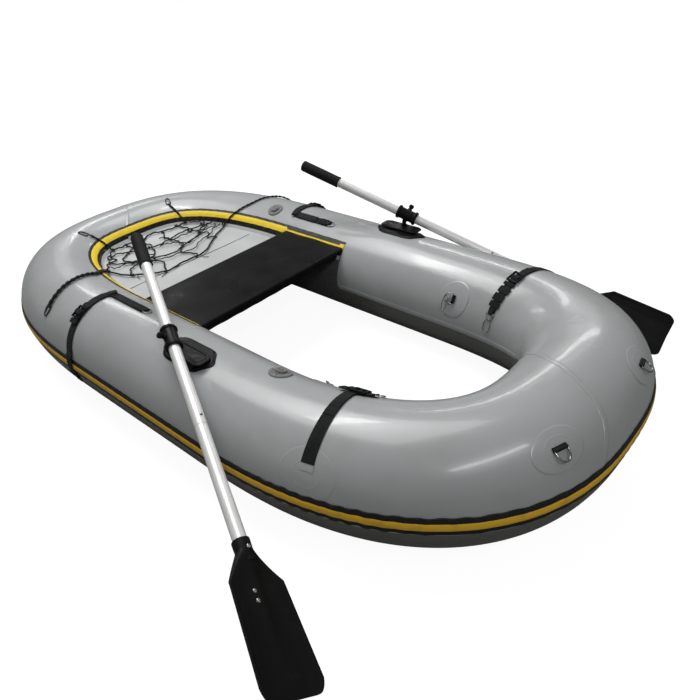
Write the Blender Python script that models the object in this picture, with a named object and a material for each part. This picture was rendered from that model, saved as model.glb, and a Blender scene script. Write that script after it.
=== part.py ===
"""One-person inflatable fishing boat, in metres.

+X is the bow, +Y is port, +Z is up. The origin is on the ground, midway
between bow and stern on the centreline. A place on the tube is given by its
run along the side from the bow (s), its angle round the tube from the outer
side upwards (phi) and its distance from the tube's own centre (r).
"""

import math

import bmesh
import bpy
import numpy as np
from mathutils import Vector

for old in list(bpy.data.objects):
    bpy.data.objects.remove(old)

# Clearances
TOUCH = 0.0003
RUN = 0.0003
SEAT_GAP = 0.0009
PATCH_GAP = 0.0011
OVERRUN = 0.02

# Hull tube
HULL_LENGTH = 2.200
HULL_BEAM = 1.175
TUBE_RADIUS = 0.160
SKIN_WALL = 0.004
BOW_CURVE_START = 0.233
STERN_CURVE_START = 0.250
BOW_FULLNESS = 2.78
STERN_FULLNESS = 2.74
BOW_RISE = 0.055
RISE_START_SHARE = 0.3
TUBE_SIDES = 32
QUARTER_STEPS = 15
BULKHEAD_THICKNESS = 0.003

# Rub strake, round the outside of the tube
STRAKE_PHI = math.radians(2.7)
STRAKE_WIDTH = 0.046
STRAKE_THICKNESS = 0.0035

# Trim band, inside the top of the tube round the stern
TRIM_PHI = math.radians(134.5)
TRIM_WIDTH = 0.044
TRIM_THICKNESS = 0.0015

# Seat board
SEAT_FRONT_X = -0.015
SEAT_BACK_X = -0.300
SEAT_RISE_SHARE = 0.722
SEAT_HEIGHT = 0.0345
SEAT_BOARD_THICKNESS = 0.013
SEAT_LEDGE = 0.012
SEAT_FIT = 0.0008

# Cargo deck, under the net and the seat
DECK_THICKNESS = 0.002
DECK_DROP = 0.0003

# Cargo net
NET_CORD = 0.005
NET_COLUMNS = 6
NET_ROWS = 4
NET_SUBSTEPS = 3
NET_LIFT = 0.0026
NET_END_LIFT = 0.0052
NET_RIPPLE = 0.007
NET_HEAP = 0.004
NET_EASE = 0.012
NET_TAIL_STEPS = 16
NET_CORNER_X_SHARES = (-0.665, -0.8245, -0.803, -0.638)
NET_CORNER_Y = (-0.250, -0.135, 0.185, 0.265)
NET_FRONT_X_SHARE = -0.479
NET_FRONT_Y = -0.080
FRONT_TAIL_X_SHARES = ((-0.638, -0.552, -0.540, -0.529), (-0.613, -0.565, -0.540, -0.529))
FRONT_TAIL_Y = ((-0.274, -0.345, -0.440, -0.515), (0.300, 0.365, 0.445, 0.515))
BACK_TAIL_X_SHARES = ((-0.848, -0.870, -0.892), (-0.835, -0.864, -0.892))
BACK_TAIL_Y = ((-0.149, -0.166, -0.180), (0.186, 0.184, 0.180))

# Valves
VALVE_FLANGE_RADIUS = 0.031
VALVE_FLANGE_THICKNESS = 0.003
VALVE_NECK_RADIUS = 0.0170
VALVE_NECK_TOP = 0.0055
VALVE_NECK_DEPTH = 0.018
VALVE_RECESS_RADIUS = 0.0120
VALVE_RECESS_DEPTH = 0.009
VALVE_CAP_RADIUS = 0.0150
VALVE_CAP_HEIGHT = 0.0045
VALVE_SIDES = 20
STARBOARD_VALVE_X_SHARE = 0.405
PORT_VALVE_X_SHARE = -0.438
VALVE_PHI = math.radians(109)

# Glued ring patches and their D-rings
PATCH_THICKNESS = 0.0016
PATCH_SIDES = 20
BOW_PATCH_RADIUS = 0.046
STARBOARD_BOW_PATCH_X_SHARE = 0.972
PORT_BOW_PATCH_X_SHARE = 0.992
BOW_PATCH_PHI = math.radians(43)
INNER_PATCH_RADIUS = 0.058
INNER_PATCH_X_SHARE = 0.500
INNER_PATCH_PHI = math.radians(152)
RING_WIRE = 0.0040
RING_WIDTH = 0.036
RING_DEPTH = 0.027
RING_ARC_STEPS = 9
RING_WIRE_SIDES = 6
LOOP_WIDTH = 0.018
LOOP_WALL = 0.0016
LOOP_SIDES = 12
LOOP_BITE = 0.0006
RING_OPEN_ANGLE = math.radians(14)

# Webbing straps with their buckles and rings
STRAP_WIDTH = 0.028
STRAP_THICKNESS = 0.0018
STRAP_TURN_RADIUS = 0.026
STRAP_STEPS = 9
STRAP_TURN_STEPS = 6
STRAP_TAIL_STEPS = 4
STRAP_ACROSS = 2
BOW_STRAP_LOW_PHI = math.radians(37)
STARBOARD_BOW_STRAP_X_SHARE = 0.624
STARBOARD_BOW_STRAP_TURN_PHI = math.radians(120)
STARBOARD_BOW_STRAP_TAIL = 0.035
STARBOARD_BOW_BUCKLE_RUN = 0.016
PORT_BOW_STRAP_X_SHARE = 0.675
PORT_BOW_STRAP_END_PHI = math.radians(152)
PORT_BOW_BUCKLE_PHI = math.radians(108)
STERN_STRAP_LOW_PHI = math.radians(13)
STERN_STRAP_SLANT = 0.018
STERN_STRAP_TAIL = 0.155
STERN_BUCKLE_PHI = math.radians(61)
STARBOARD_STERN_STRAP_X_SHARE = -0.356
STARBOARD_STERN_STRAP_TURN_PHI = math.radians(101)
PORT_STERN_STRAP_X_SHARE = -0.335
PORT_STERN_STRAP_TURN_PHI = math.radians(107.5)
BUCKLE_LENGTH = 0.042
BUCKLE_WIDTH = 0.038
BUCKLE_THICKNESS = 0.007
BUCKLE_RAIL = 0.0045
BUCKLE_SLOT = 0.010
BUCKLE_EDGE = 0.006
BUCKLE_LIFT = 0.0005
ROUND_BUCKLE_LIFT = 0.0014
CURVED_BUCKLE_LIFT = 0.0021
STRAP_RING_WIRE = 0.0030
STRAP_RING_WIDTH = 0.028
STRAP_RING_DEPTH = 0.020
STRAP_LOOP_WIDTH = 0.015
STERN_RING_DROP = math.radians(5)
PORT_BOW_RING_DROP = math.radians(9)
STARBOARD_BOW_RING_DROP = math.radians(-5)

# Net hooks, closed wire links that lie on the tube
HOOK_WIRE = 0.0030
HOOK_WIDTH = 0.020
HOOK_DEPTH = 0.026
SIDE_HOOK_X_SHARE = -0.518
SIDE_HOOK_PHI = math.radians(45)
STERN_HOOK_X_SHARE = -0.957
STERN_HOOK_PHI = math.radians(109)

# Oarlocks
LOCK_OUT = 0.0565
PAD_X = 0.128
PAD_PHI = math.radians(79.3)
PAD_LENGTH = 0.205
PAD_ARC = 0.088
PAD_THICKNESS = 0.004
PAD_CORNER_SHARE = 0.60
PAD_STRAIGHT_SHARE = 0.55
BLOCK_LENGTH = 0.104
BLOCK_WIDTH = 0.050
BLOCK_RISE = 0.0115
BLOCK_OUT = 0.0425
WING_LENGTH = 0.150
WING_THICKNESS = 0.0055
POST_RADIUS = 0.0050
POST_DEPTH = 0.0090
POST_HEAD_RADIUS = 0.0105
POST_HEAD_HEIGHT = 0.0025
POST_SIDES = 20
LUG_THICKNESS = 0.0070
PIN_RADIUS = 0.0028
PIN_ABOVE_BLOCK = 0.0095
LUG_RADIUS = 0.0056
AXIS_ABOVE_PIN = 0.0295
CLAMP_LENGTH = 0.070
CLAMP_WALL = 0.0040
CLAMP_FLANGE = 0.0025
CLAMP_FLANGE_LENGTH = 0.010
CLAMP_EAR = 0.0045
CLAMP_EAR_LENGTH = 0.016
SCREW_RADIUS = 0.0030
SCREW_ANGLE = math.radians(42)
SCREW_NECK = 0.0085
SCREW_KNOB_RADIUS = 0.0085
SCREW_KNOB_HEIGHT = 0.011

# Oars
SHAFT_RADIUS = 0.0150
SHAFT_WALL = 0.0015
SHAFT_SIDES = 20
OAR_LENGTH = 1.345
GRIP_LENGTH = 0.145
GRIP_RADIUS = 0.0185
GRIP_CAP = 0.006
OAR_JOINT_SHARE = 0.559
FERRULE_LENGTH = 0.060
BLADE_LENGTH = 0.300
BLADE_SOCKET_DEPTH = 0.048
BLADE_NECK_RADIUS = 0.0185
BLADE_SHOULDER_WIDTH = 0.130
BLADE_END_WIDTH = 0.147
BLADE_THICKNESS = 0.006
BLADE_RIB = 0.011
BLADE_SCOOP = 0.010
BLADE_SECTION_POINTS = 16
BLADE_RUN_SHARES = (0.0, 0.06, 0.12, 0.19, 0.27, 0.36, 0.50, 0.66, 0.84, 0.92, 0.97, 1.0)
BLADE_NECK_SHARE = 0.10
BLADE_SHOULDER_SHARE = 0.27
BLADE_FLAT_SHARE = 0.34
BLADE_CORNER_SHARE = 0.86
BLADE_ROUND_SHARE = 0.42
BLADE_RIB_WIDTH_SHARE = 0.7
BUTTON_RADIUS = 0.0038
BUTTON_BACK = 0.026
BUTTON_PROUD = 0.0026
BUTTON_ROOT = 0.0040
BUTTON_ANGLE = math.radians(30)
OAR_POSE = {
    "starboard": {
        "side": -1,
        "block_x": 0.137,
        "lock_x": 0.104,
        "swing": math.radians(26.0),
        "dip": math.radians(13.5),
        "inboard_share": 0.3390,
        "blade_roll": math.radians(40),
    },
    "port": {
        "side": 1,
        "block_x": 0.119,
        "lock_x": 0.1225,
        "swing": math.radians(18.0),
        "dip": math.radians(20.8),
        "inboard_share": 0.3050,
        "blade_roll": math.radians(46),
    },
}

# Materials: colour, roughness, metallic
LOOKS = {
    "hull_fabric": ((0.46, 0.48, 0.49), 0.28, 0.0),
    "strake_rubber": ((0.80, 0.58, 0.08), 0.45, 0.0),
    "trim_fabric": ((0.95, 0.78, 0.05), 0.5, 0.0),
    "deck_fabric": ((0.55, 0.58, 0.58), 0.4, 0.0),
    "net_cord": ((0.02, 0.02, 0.02), 0.8, 0.0),
    "seat_fabric": ((0.02, 0.02, 0.022), 0.5, 0.0),
    "valve_plastic": ((0.42, 0.44, 0.44), 0.4, 0.0),
    "black_webbing": ((0.015, 0.016, 0.018), 0.75, 0.0),
    "black_plastic": ((0.018, 0.019, 0.02), 0.4, 0.0),
    "ring_steel": ((0.62, 0.62, 0.62), 0.25, 1.0),
    "oar_aluminium": ((0.85, 0.85, 0.83), 0.3, 1.0),
    "grip_rubber": ((0.02, 0.02, 0.02), 0.7, 0.0),
}


# Tools for materials and meshes

def look(name):
    """The Principled material of this name, made once."""
    if name in bpy.data.materials:
        return bpy.data.materials[name]
    colour, roughness, metallic = LOOKS[name]
    material = bpy.data.materials.new(name)
    material.use_nodes = True
    shader = material.node_tree.nodes["Principled BSDF"]
    shader.inputs["Base Color"].default_value = (*colour, 1.0)
    shader.inputs["Roughness"].default_value = roughness
    shader.inputs["Metallic"].default_value = metallic
    return material


def add_mesh(name, points, faces, material, parent=None, smooth=True):
    """A mesh object from points and faces, with its faces turned outwards."""
    mesh = bpy.data.meshes.new(name)
    mesh.from_pydata([tuple(map(float, p)) for p in points], [], faces)
    work = bmesh.new()
    work.from_mesh(mesh)
    bmesh.ops.recalc_face_normals(work, faces=work.faces)
    work.to_mesh(mesh)
    work.free()
    if smooth:
        mesh.shade_smooth()
        mesh.set_sharp_from_angle(angle=math.radians(40))
    obj = bpy.data.objects.new(name, mesh)
    bpy.context.collection.objects.link(obj)
    if material:
        mesh.materials.append(look(material))
    if parent:
        obj.parent = parent
    return obj


def add_empty(name, place, turn=None, parent=None):
    """An empty that carries a moving group."""
    obj = bpy.data.objects.new(name, None)
    bpy.context.collection.objects.link(obj)
    obj.location = place
    if turn:
        obj.rotation_euler = turn
    if parent:
        obj.parent = parent
    return obj


def hide_cutter(obj):
    """Marks a solid that only cuts or joins another."""
    obj.hide_render = True
    obj.display_type = 'WIRE'
    return obj


def combine(obj, other, operation):
    """Keeps an exact Boolean of the other solid on this one."""
    step = obj.modifiers.new(operation.lower(), 'BOOLEAN')
    step.operation = operation
    step.solver = 'EXACT'
    step.object = hide_cutter(other)
    return obj


def loft(rings, closed=False):
    """Points and faces of a skin over rings with equal counts.

    An open loft is capped at both ends, and a closed one joins its last
    ring to its first.
    """
    count = len(rings[0])
    points = [p for ring in rings for p in ring]
    faces = []
    spans = len(rings) if closed else len(rings) - 1
    for i in range(spans):
        here = i * count
        there = ((i + 1) % len(rings)) * count
        for k in range(count):
            n = (k + 1) % count
            faces.append((here + k, here + n, there + n, there + k))
    if not closed:
        faces.append(tuple(range(count)))
        faces.append(tuple(range((len(rings) - 1) * count, len(rings) * count)))
    return points, faces


def circle(centre, across, up, radius, sides):
    """A ring of points round a centre in the plane of two unit directions."""
    turn = np.arange(sides) * math.tau / sides
    return centre + radius * (np.outer(np.cos(turn), across) + np.outer(np.sin(turn), up))


AXIS_X = np.array([1.0, 0.0, 0.0])
AXIS_Y = np.array([0.0, 1.0, 0.0])
AXIS_Z = np.array([0.0, 0.0, 1.0])


def turned(profile, sides, origin, axis, across, closed=False):
    """A solid turned about an axis, from (distance along, radius) pairs."""
    up = np.cross(axis, across)
    rings = [circle(origin + axis * run, across, up, radius, sides) for run, radius in profile]
    return loft(rings, closed)


def plate(bottom, top, keep=None, wrap=False):
    """Points and faces of a plate between two grids of points.

    keep says which cells are solid, and wrap joins the last row of cells to
    the first.
    """
    rows, columns = bottom.shape[:2]
    cell_rows = rows if wrap else rows - 1
    if keep is None:
        keep = np.ones((cell_rows, columns - 1), dtype=bool)
    index = {}
    points = []

    def vertex(layer, i, j):
        key = (layer, i % rows, j)
        if key not in index:
            index[key] = len(points)
            grid = top if layer else bottom
            points.append(grid[i % rows, j])
        return index[key]

    def solid(i, j):
        if wrap:
            i %= cell_rows
        return 0 <= i < cell_rows and 0 <= j < columns - 1 and keep[i, j]

    faces = []
    for i in range(cell_rows):
        for j in range(columns - 1):
            if not keep[i, j]:
                continue
            corners = [(i, j), (i + 1, j), (i + 1, j + 1), (i, j + 1)]
            faces.append(tuple(vertex(1, *c) for c in corners))
            faces.append(tuple(vertex(0, *c) for c in reversed(corners)))
            beside = [(i, j - 1), (i + 1, j), (i, j + 1), (i - 1, j)]
            for k in range(4):
                if solid(*beside[k]):
                    continue
                a = corners[k]
                b = corners[(k + 1) % 4]
                faces.append((vertex(1, *b), vertex(1, *a), vertex(0, *a), vertex(0, *b)))
    return points, faces


# Tube centreline

HALF_RUN_X = HULL_LENGTH / 2 - TUBE_RADIUS
HALF_RUN_Y = HULL_BEAM / 2 - TUBE_RADIUS


def port_run():
    """Points of the port centreline from bow to stern, and their runs.

    Each end is a superellipse quarter, and the side between is straight.
    """
    turn = np.linspace(0.0, math.pi / 2, 1501)
    bow_x = BOW_CURVE_START + (HALF_RUN_X - BOW_CURVE_START) * np.cos(turn) ** (2 / BOW_FULLNESS)
    bow_y = HALF_RUN_Y * np.sin(turn) ** (2 / BOW_FULLNESS)
    stern_reach = HALF_RUN_X - STERN_CURVE_START
    stern_x = -STERN_CURVE_START - stern_reach * np.sin(turn) ** (2 / STERN_FULLNESS)
    stern_y = HALF_RUN_Y * np.cos(turn) ** (2 / STERN_FULLNESS)
    x = np.concatenate([bow_x, stern_x])
    y = np.concatenate([bow_y, stern_y])
    step = np.hypot(np.diff(x), np.diff(y))
    run = np.concatenate([[0.0], np.cumsum(step)])
    return run, x, y


RUN_S, RUN_X, RUN_Y = port_run()
HALF_RUN = RUN_S[-1]
BOW_QUARTER_END = float(np.interp(-BOW_CURVE_START, -RUN_X, RUN_S))
STERN_QUARTER_START = float(np.interp(STERN_CURVE_START, -RUN_X, RUN_S))
MIDSHIP = (BOW_QUARTER_END + STERN_QUARTER_START) / 2
TANGENT_STEP = HULL_LENGTH / 400


def run_at_x(x):
    """The run along the side at which the centreline has this x."""
    return float(np.interp(-x, -RUN_X, RUN_S))


def run_at_share(share):
    """The run at a share of the way from the middle of the boat to the bow.

    A share below zero is towards the stern.
    """
    return run_at_x(share * HALF_RUN_X)


def flat_point(s):
    """The centreline point at a run, in plan, carried past both ends by symmetry."""
    if s < 0:
        x, y = flat_point(-s)
        return x, -y
    if s > HALF_RUN:
        x, y = flat_point(2 * HALF_RUN - s)
        return x, -y
    return float(np.interp(s, RUN_S, RUN_X)), float(np.interp(s, RUN_S, RUN_Y))


def centre_height(x):
    """Height of the tube's centre, which lifts towards the bow."""
    start = RISE_START_SHARE * HALF_RUN_X
    share = min(max((x - start) / (HALF_RUN_X - start), 0.0), 1.0)
    return TUBE_RADIUS + BOW_RISE * share ** 2


def tube_frame(side, s):
    """Centre, outward direction and direction towards the stern at a run."""
    x, y = flat_point(s)
    ahead = flat_point(s - TANGENT_STEP)
    behind = flat_point(s + TANGENT_STEP)
    along = np.array([behind[0] - ahead[0], behind[1] - ahead[1], 0.0])
    along /= np.linalg.norm(along)
    out = np.array([-along[1], along[0], 0.0])
    if out[0] * x + out[1] * y < 0:
        out = -out
    flip = np.array([1.0, side, 1.0])
    return np.array([x, y, centre_height(x)]) * flip, out * flip, along * flip


def tube_point(side, s, phi, r):
    """A point at a run, an angle round the tube and a distance from its centre."""
    centre, out, along = tube_frame(side, s)
    return centre + r * (math.cos(phi) * out + math.sin(phi) * AXIS_Z)


def tube_normal(side, s, phi):
    """The tube's outward normal."""
    centre, out, along = tube_frame(side, s)
    return math.cos(phi) * out + math.sin(phi) * AXIS_Z


def stations(start, end, steps):
    """Runs from start to end, closer together where the tube turns."""
    s = np.linspace(start, end, 400)
    headings = [tube_frame(1, v)[2] for v in s]
    angle = np.unwrap([math.atan2(h[1], h[0]) for h in headings])
    turned_share = np.abs(angle - angle[0]) / abs(angle[-1] - angle[0])
    run_share = (s - start) / (end - start)
    mixed = (turned_share + run_share) / 2
    return [float(v) for v in np.interp(np.linspace(0.0, 1.0, steps + 1), mixed, s)]


END_RUN = BULKHEAD_THICKNESS / 2 + TOUCH
BOW_STATIONS = stations(END_RUN, BOW_QUARTER_END, QUARTER_STEPS)
STERN_STATIONS = stations(STERN_QUARTER_START, HALF_RUN - END_RUN, QUARTER_STEPS)
SIDE_STATIONS = [0.0] + BOW_STATIONS + STERN_STATIONS + [HALF_RUN]


# Hull skins, bulkheads, strake and trim

def skin_panel(name, side, runs):
    """One hollow quarter of the tube, open at both ends.

    The inside is a coarser surface on every other station.
    """
    outer = []
    for s in runs:
        ring = [tube_point(side, s, k * math.tau / TUBE_SIDES, TUBE_RADIUS)
                for k in range(TUBE_SIDES)]
        outer.append(ring)
    inner_sides = TUBE_SIDES // 2
    inner = []
    for s in runs[::2]:
        ring = [tube_point(side, s, k * math.tau / inner_sides, TUBE_RADIUS - SKIN_WALL)
                for k in range(inner_sides)]
        inner.append(ring)
    points = [p for ring in outer + inner for p in ring]
    faces = []
    for i in range(len(outer) - 1):
        for k in range(TUBE_SIDES):
            n = (k + 1) % TUBE_SIDES
            a = i * TUBE_SIDES
            b = a + TUBE_SIDES
            faces.append((a + k, a + n, b + n, b + k))
    base = len(outer) * TUBE_SIDES
    for i in range(len(inner) - 1):
        for k in range(inner_sides):
            n = (k + 1) % inner_sides
            a = base + i * inner_sides
            b = a + inner_sides
            faces.append((a + k, b + k, b + n, a + n))
    for end in (0, 1):
        a = end * (len(outer) - 1) * TUBE_SIDES
        b = base + end * (len(inner) - 1) * inner_sides
        for k in range(inner_sides):
            n = (k + 1) % inner_sides
            last = (2 * k + 2) % TUBE_SIDES
            faces.append((a + 2 * k, a + 2 * k + 1, a + last, b + n, b + k))
    return add_mesh(name, points, faces, "hull_fabric")


def bulkhead(name, s):
    """A disc that parts the two air chambers."""
    centre, out, along = tube_frame(1, s)
    ring = [tube_point(1, s, k * math.tau / TUBE_SIDES, TUBE_RADIUS)
            for k in range(TUBE_SIDES)]
    half = along * BULKHEAD_THICKNESS / 2
    rings = [[p - half for p in ring], [p + half for p in ring]]
    points, faces = loft(rings)
    return add_mesh(name, points, faces, "hull_fabric")


def band_section(side, s, phi, width, low, thickness, steps):
    """Lower and upper points of a band across the tube at one run."""
    half = width / 2 / TUBE_RADIUS
    angles = np.linspace(phi - half, phi + half, steps + 1)
    lower = [tube_point(side, s, a, TUBE_RADIUS + low) for a in angles]
    upper = [tube_point(side, s, a, TUBE_RADIUS + low + thickness) for a in angles]
    return lower, upper


def whole_round():
    """Side and run of every station, once round the boat from the bow."""
    port = [(1, s) for s in SIDE_STATIONS]
    starboard = [(-1, s) for s in reversed(SIDE_STATIONS[1:-1])]
    return port + starboard


def rub_strake():
    """The bumper band round the outside, with a raised middle rib."""
    lower = []
    upper = []
    for side, s in whole_round():
        low, high = band_section(side, s, STRAKE_PHI, STRAKE_WIDTH, SEAT_GAP, STRAKE_THICKNESS, 2)
        lower.append(low)
        upper.append(high)
    points, faces = plate(np.array(lower), np.array(upper), wrap=True)
    return add_mesh("rub_strake", points, faces, "strake_rubber")


def stern_trim():
    """The band inside the top of the tube, from seat front to seat front."""
    front = run_at_x(SEAT_FRONT_X)
    port = [(1, front)] + [(1, s) for s in SIDE_STATIONS if s > front]
    starboard = [(-1, s) for _, s in reversed(port[:-1])]
    lower = []
    upper = []
    for side, s in port + starboard:
        low, high = band_section(side, s, TRIM_PHI, TRIM_WIDTH, TOUCH, TRIM_THICKNESS, 3)
        lower.append(low)
        upper.append(high)
    points, faces = plate(np.array(lower), np.array(upper))
    return add_mesh("stern_trim", points, faces, "trim_fabric")


# The bow panels run from the bow bulkhead to midship, the stern ones on from there
BOW_PANEL_RUNS = BOW_STATIONS + [MIDSHIP - TOUCH / 2]
STERN_PANEL_RUNS = [MIDSHIP + TOUCH / 2] + STERN_STATIONS
skins = {}
for side_name, side in (("starboard", -1), ("port", 1)):
    skins[side_name, "bow"] = skin_panel(f"{side_name}_bow_skin", side, BOW_PANEL_RUNS)
    skins[side_name, "stern"] = skin_panel(f"{side_name}_stern_skin", side, STERN_PANEL_RUNS)
bulkhead("bow_bulkhead", 0.0)
bulkhead("stern_bulkhead", HALF_RUN)
rub_strake()
stern_trim()


# Pieces that lie on the tube

def surface_disc(side, s, phi, outline, low, thickness, rings=2):
    """A plate of any outline that follows the tube.

    outline lists (forward run, climb round the tube) offsets from the
    centre, and low is the gap under it.
    """
    points = []
    faces = []
    count = len(outline)
    for layer in (0, 1):
        r = TUBE_RADIUS + low + layer * thickness
        points.append(tube_point(side, s, phi, r))
        for k in range(1, rings + 1):
            share = k / rings
            for a, b in outline:
                points.append(tube_point(side, s - a * share, phi + b * share / TUBE_RADIUS, r))
    layer_size = 1 + rings * count
    for layer in (0, 1):
        base = layer * layer_size
        for k in range(count):
            n = (k + 1) % count
            faces.append((base, base + 1 + k, base + 1 + n))
            for ring in range(rings - 1):
                a = base + 1 + ring * count
                b = a + count
                faces.append((a + k, b + k, b + n, a + n))
    a = 1 + (rings - 1) * count
    b = a + layer_size
    for k in range(count):
        n = (k + 1) % count
        faces.append((a + k, a + n, b + n, b + k))
    return points, faces


def round_outline(radius, sides):
    """Offsets of a circle."""
    turn = np.arange(sides) * math.tau / sides
    return [(radius * math.cos(a), radius * math.sin(a)) for a in turn]


def rounded_outline(corners, steps, share):
    """A polygon with each corner replaced by a curve between its sides.

    share is how far along each side from its middle the straight part runs.
    """
    points = []
    count = len(corners)
    for i in range(count):
        before = np.array(corners[i - 1])
        here = np.array(corners[i])
        after = np.array(corners[(i + 1) % count])
        enter = (before + here) / 2 + (here - before) / 2 * share
        leave = (here + after) / 2 + (here - after) / 2 * share
        for k in range(steps + 1):
            t = k / steps
            points.append((1 - t) ** 2 * enter + 2 * t * (1 - t) * here + t * t * leave)
    return [tuple(p) for p in points]


def local_frame(side, s, phi, heading):
    """Axes at a place on the tube: along the heading, across it and outwards.

    heading is (forward run, climb round the tube).
    """
    step = TUBE_RADIUS / 100
    here = tube_point(side, s, phi, TUBE_RADIUS)
    length = math.hypot(*heading)
    a = heading[0] / length * step
    b = heading[1] / length * step
    there = tube_point(side, s - a, phi + b / TUBE_RADIUS, TUBE_RADIUS)
    normal = tube_normal(side, s, phi)
    along = there - here
    along -= normal * along.dot(normal)
    along /= np.linalg.norm(along)
    return here, along, np.cross(normal, along), normal


def ring_path(width, depth, steps):
    """A D in the plane: its bar lies on x and its bow reaches out along y."""
    points = [(-width / 2, 0.0), (width / 2, 0.0)]
    for k in range(1, steps):
        turn = math.pi * k / steps
        reach = math.sin(turn) ** 0.75
        points.append((width / 2 * math.cos(turn), depth * reach))
    return points


def wire_ring(name, centre, bar, reach, wire, width, depth, material):
    """A closed wire D on its bar's centre, with the bow along reach."""
    path = [centre + bar * x + reach * y for x, y in ring_path(width - wire, depth, RING_ARC_STEPS)]
    plane_normal = np.cross(bar, reach)
    rings = []
    count = len(path)
    for i in range(count):
        before = path[i] - path[i - 1]
        after = path[(i + 1) % count] - path[i]
        tangent = before / np.linalg.norm(before) + after / np.linalg.norm(after)
        tangent /= np.linalg.norm(tangent)
        side_way = np.cross(plane_normal, tangent)
        rings.append(circle(path[i], side_way, plane_normal, wire / 2, RING_WIRE_SIDES))
    points, faces = loft(rings, closed=True)
    obj = add_mesh(name, [p - centre for p in points], faces, material)
    obj.location = centre
    return obj


def sleeve(name, centre, bar, across, wire, width, wall):
    """A short round sleeve that a ring's bar turns in."""
    bore = wire / 2 + RUN
    outside = bore + wall
    half = width / 2
    profile = [(-half, bore), (-half, outside), (half, outside), (half, bore)]
    points, faces = turned(profile, LOOP_SIDES, centre, bar, across, closed=True)
    return add_mesh(name, points, faces, None)


def ring_on_patch(name, side, s, phi, radius, heading):
    """A glued round patch with a webbing loop, and the D-ring in it, that reaches
    out along a heading of (forward run, climb round the tube)."""
    points, faces = surface_disc(
        side, s, phi, round_outline(radius, PATCH_SIDES), PATCH_GAP, PATCH_THICKNESS, rings=3)
    patch = add_mesh(f"{name}_patch", points, faces, "hull_fabric")
    here, down, across, normal = local_frame(side, s, phi, heading)
    outside = RING_WIRE / 2 + RUN + LOOP_WALL
    bar_centre = here + normal * (PATCH_GAP + PATCH_THICKNESS + outside - LOOP_BITE)
    loop = sleeve(f"{name}_loop", bar_centre, across, normal, RING_WIRE, LOOP_WIDTH, LOOP_WALL)
    combine(patch, loop, 'UNION')
    reach = math.cos(RING_OPEN_ANGLE) * down + math.sin(RING_OPEN_ANGLE) * normal
    wire_ring(f"{name}_d_ring", bar_centre, across, reach,
              RING_WIRE, RING_WIDTH, RING_DEPTH, "ring_steel")


for side_name, side, bow_share in (("starboard", -1, STARBOARD_BOW_PATCH_X_SHARE),
                                   ("port", 1, PORT_BOW_PATCH_X_SHARE)):
    ring_on_patch(f"{side_name}_bow", side, run_at_share(bow_share), BOW_PATCH_PHI,
                  BOW_PATCH_RADIUS, (0.0, -1.0))
    ring_on_patch(f"{side_name}_inner", side, run_at_share(INNER_PATCH_X_SHARE), INNER_PATCH_PHI,
                  INNER_PATCH_RADIUS, (-1.0, 0.0))


# Webbing straps

def turned_route(low_phi, turn_phi, slant, tail):
    """Offsets (forward, arc height) of a strap up the tube and then forward."""
    top = turn_phi * TUBE_RADIUS
    bend = top - STRAP_TURN_RADIUS
    points = []
    for k in range(STRAP_STEPS):
        share = k / STRAP_STEPS
        ease = (1 - share) ** 2
        points.append((slant * ease, low_phi * TUBE_RADIUS * (1 - share) + bend * share))
    for k in range(STRAP_TURN_STEPS + 1):
        turn = math.pi / 2 * k / STRAP_TURN_STEPS
        forward = STRAP_TURN_RADIUS * (1 - math.cos(turn))
        points.append((forward, bend + STRAP_TURN_RADIUS * math.sin(turn)))
    for k in range(1, STRAP_TAIL_STEPS + 1):
        points.append((STRAP_TURN_RADIUS + tail * k / STRAP_TAIL_STEPS, top))
    return points


def straight_route(low_phi, end_phi):
    """Offsets of a strap that goes straight over the tube."""
    points = []
    for k in range(2 * STRAP_STEPS + 1):
        share = k / STRAP_STEPS / 2
        points.append((0.0, low_phi * TUBE_RADIUS * (1 - share) + end_phi * TUBE_RADIUS * share))
    return points


def ribbon(side, s, route, width, low, thickness):
    """A flat band on the tube along a route of (forward, arc height) offsets."""
    lower = []
    upper = []
    count = len(route)
    for i in range(count):
        a = np.array(route[max(i - 1, 0)])
        b = np.array(route[min(i + 1, count - 1)])
        along = (b - a) / np.linalg.norm(b - a)
        across = np.array([along[1], -along[0]])
        low_row = []
        high_row = []
        for k in range(STRAP_ACROSS + 1):
            place = np.array(route[i]) + across * width * (k / STRAP_ACROSS - 1 / 2)
            run = s - place[0]
            phi = place[1] / TUBE_RADIUS
            low_row.append(tube_point(side, run, phi, TUBE_RADIUS + low))
            high_row.append(tube_point(side, run, phi, TUBE_RADIUS + low + thickness))
        lower.append(low_row)
        upper.append(high_row)
    return plate(np.array(lower), np.array(upper))


def buckle(name, centre, along, across, normal):
    """A moulded ladder buckle with two slots, centred over the strap."""
    half_long = BUCKLE_LENGTH / 2
    half_wide = BUCKLE_WIDTH / 2
    length_cuts = [-half_long, BUCKLE_EDGE - half_long, BUCKLE_EDGE + BUCKLE_SLOT - half_long,
                   half_long - BUCKLE_EDGE - BUCKLE_SLOT, half_long - BUCKLE_EDGE, half_long]
    width_cuts = [-half_wide, BUCKLE_RAIL - half_wide, half_wide - BUCKLE_RAIL, half_wide]
    lower = []
    upper = []
    for u in length_cuts:
        row = [centre + along * u + across * v for v in width_cuts]
        lower.append(row)
        upper.append([p + normal * BUCKLE_THICKNESS for p in row])
    keep = np.ones((5, 3), dtype=bool)
    keep[1, 1] = False
    keep[3, 1] = False
    points, faces = plate(np.array(lower), np.array(upper), keep)
    return add_mesh(name, points, faces, "black_plastic", smooth=False)


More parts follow.
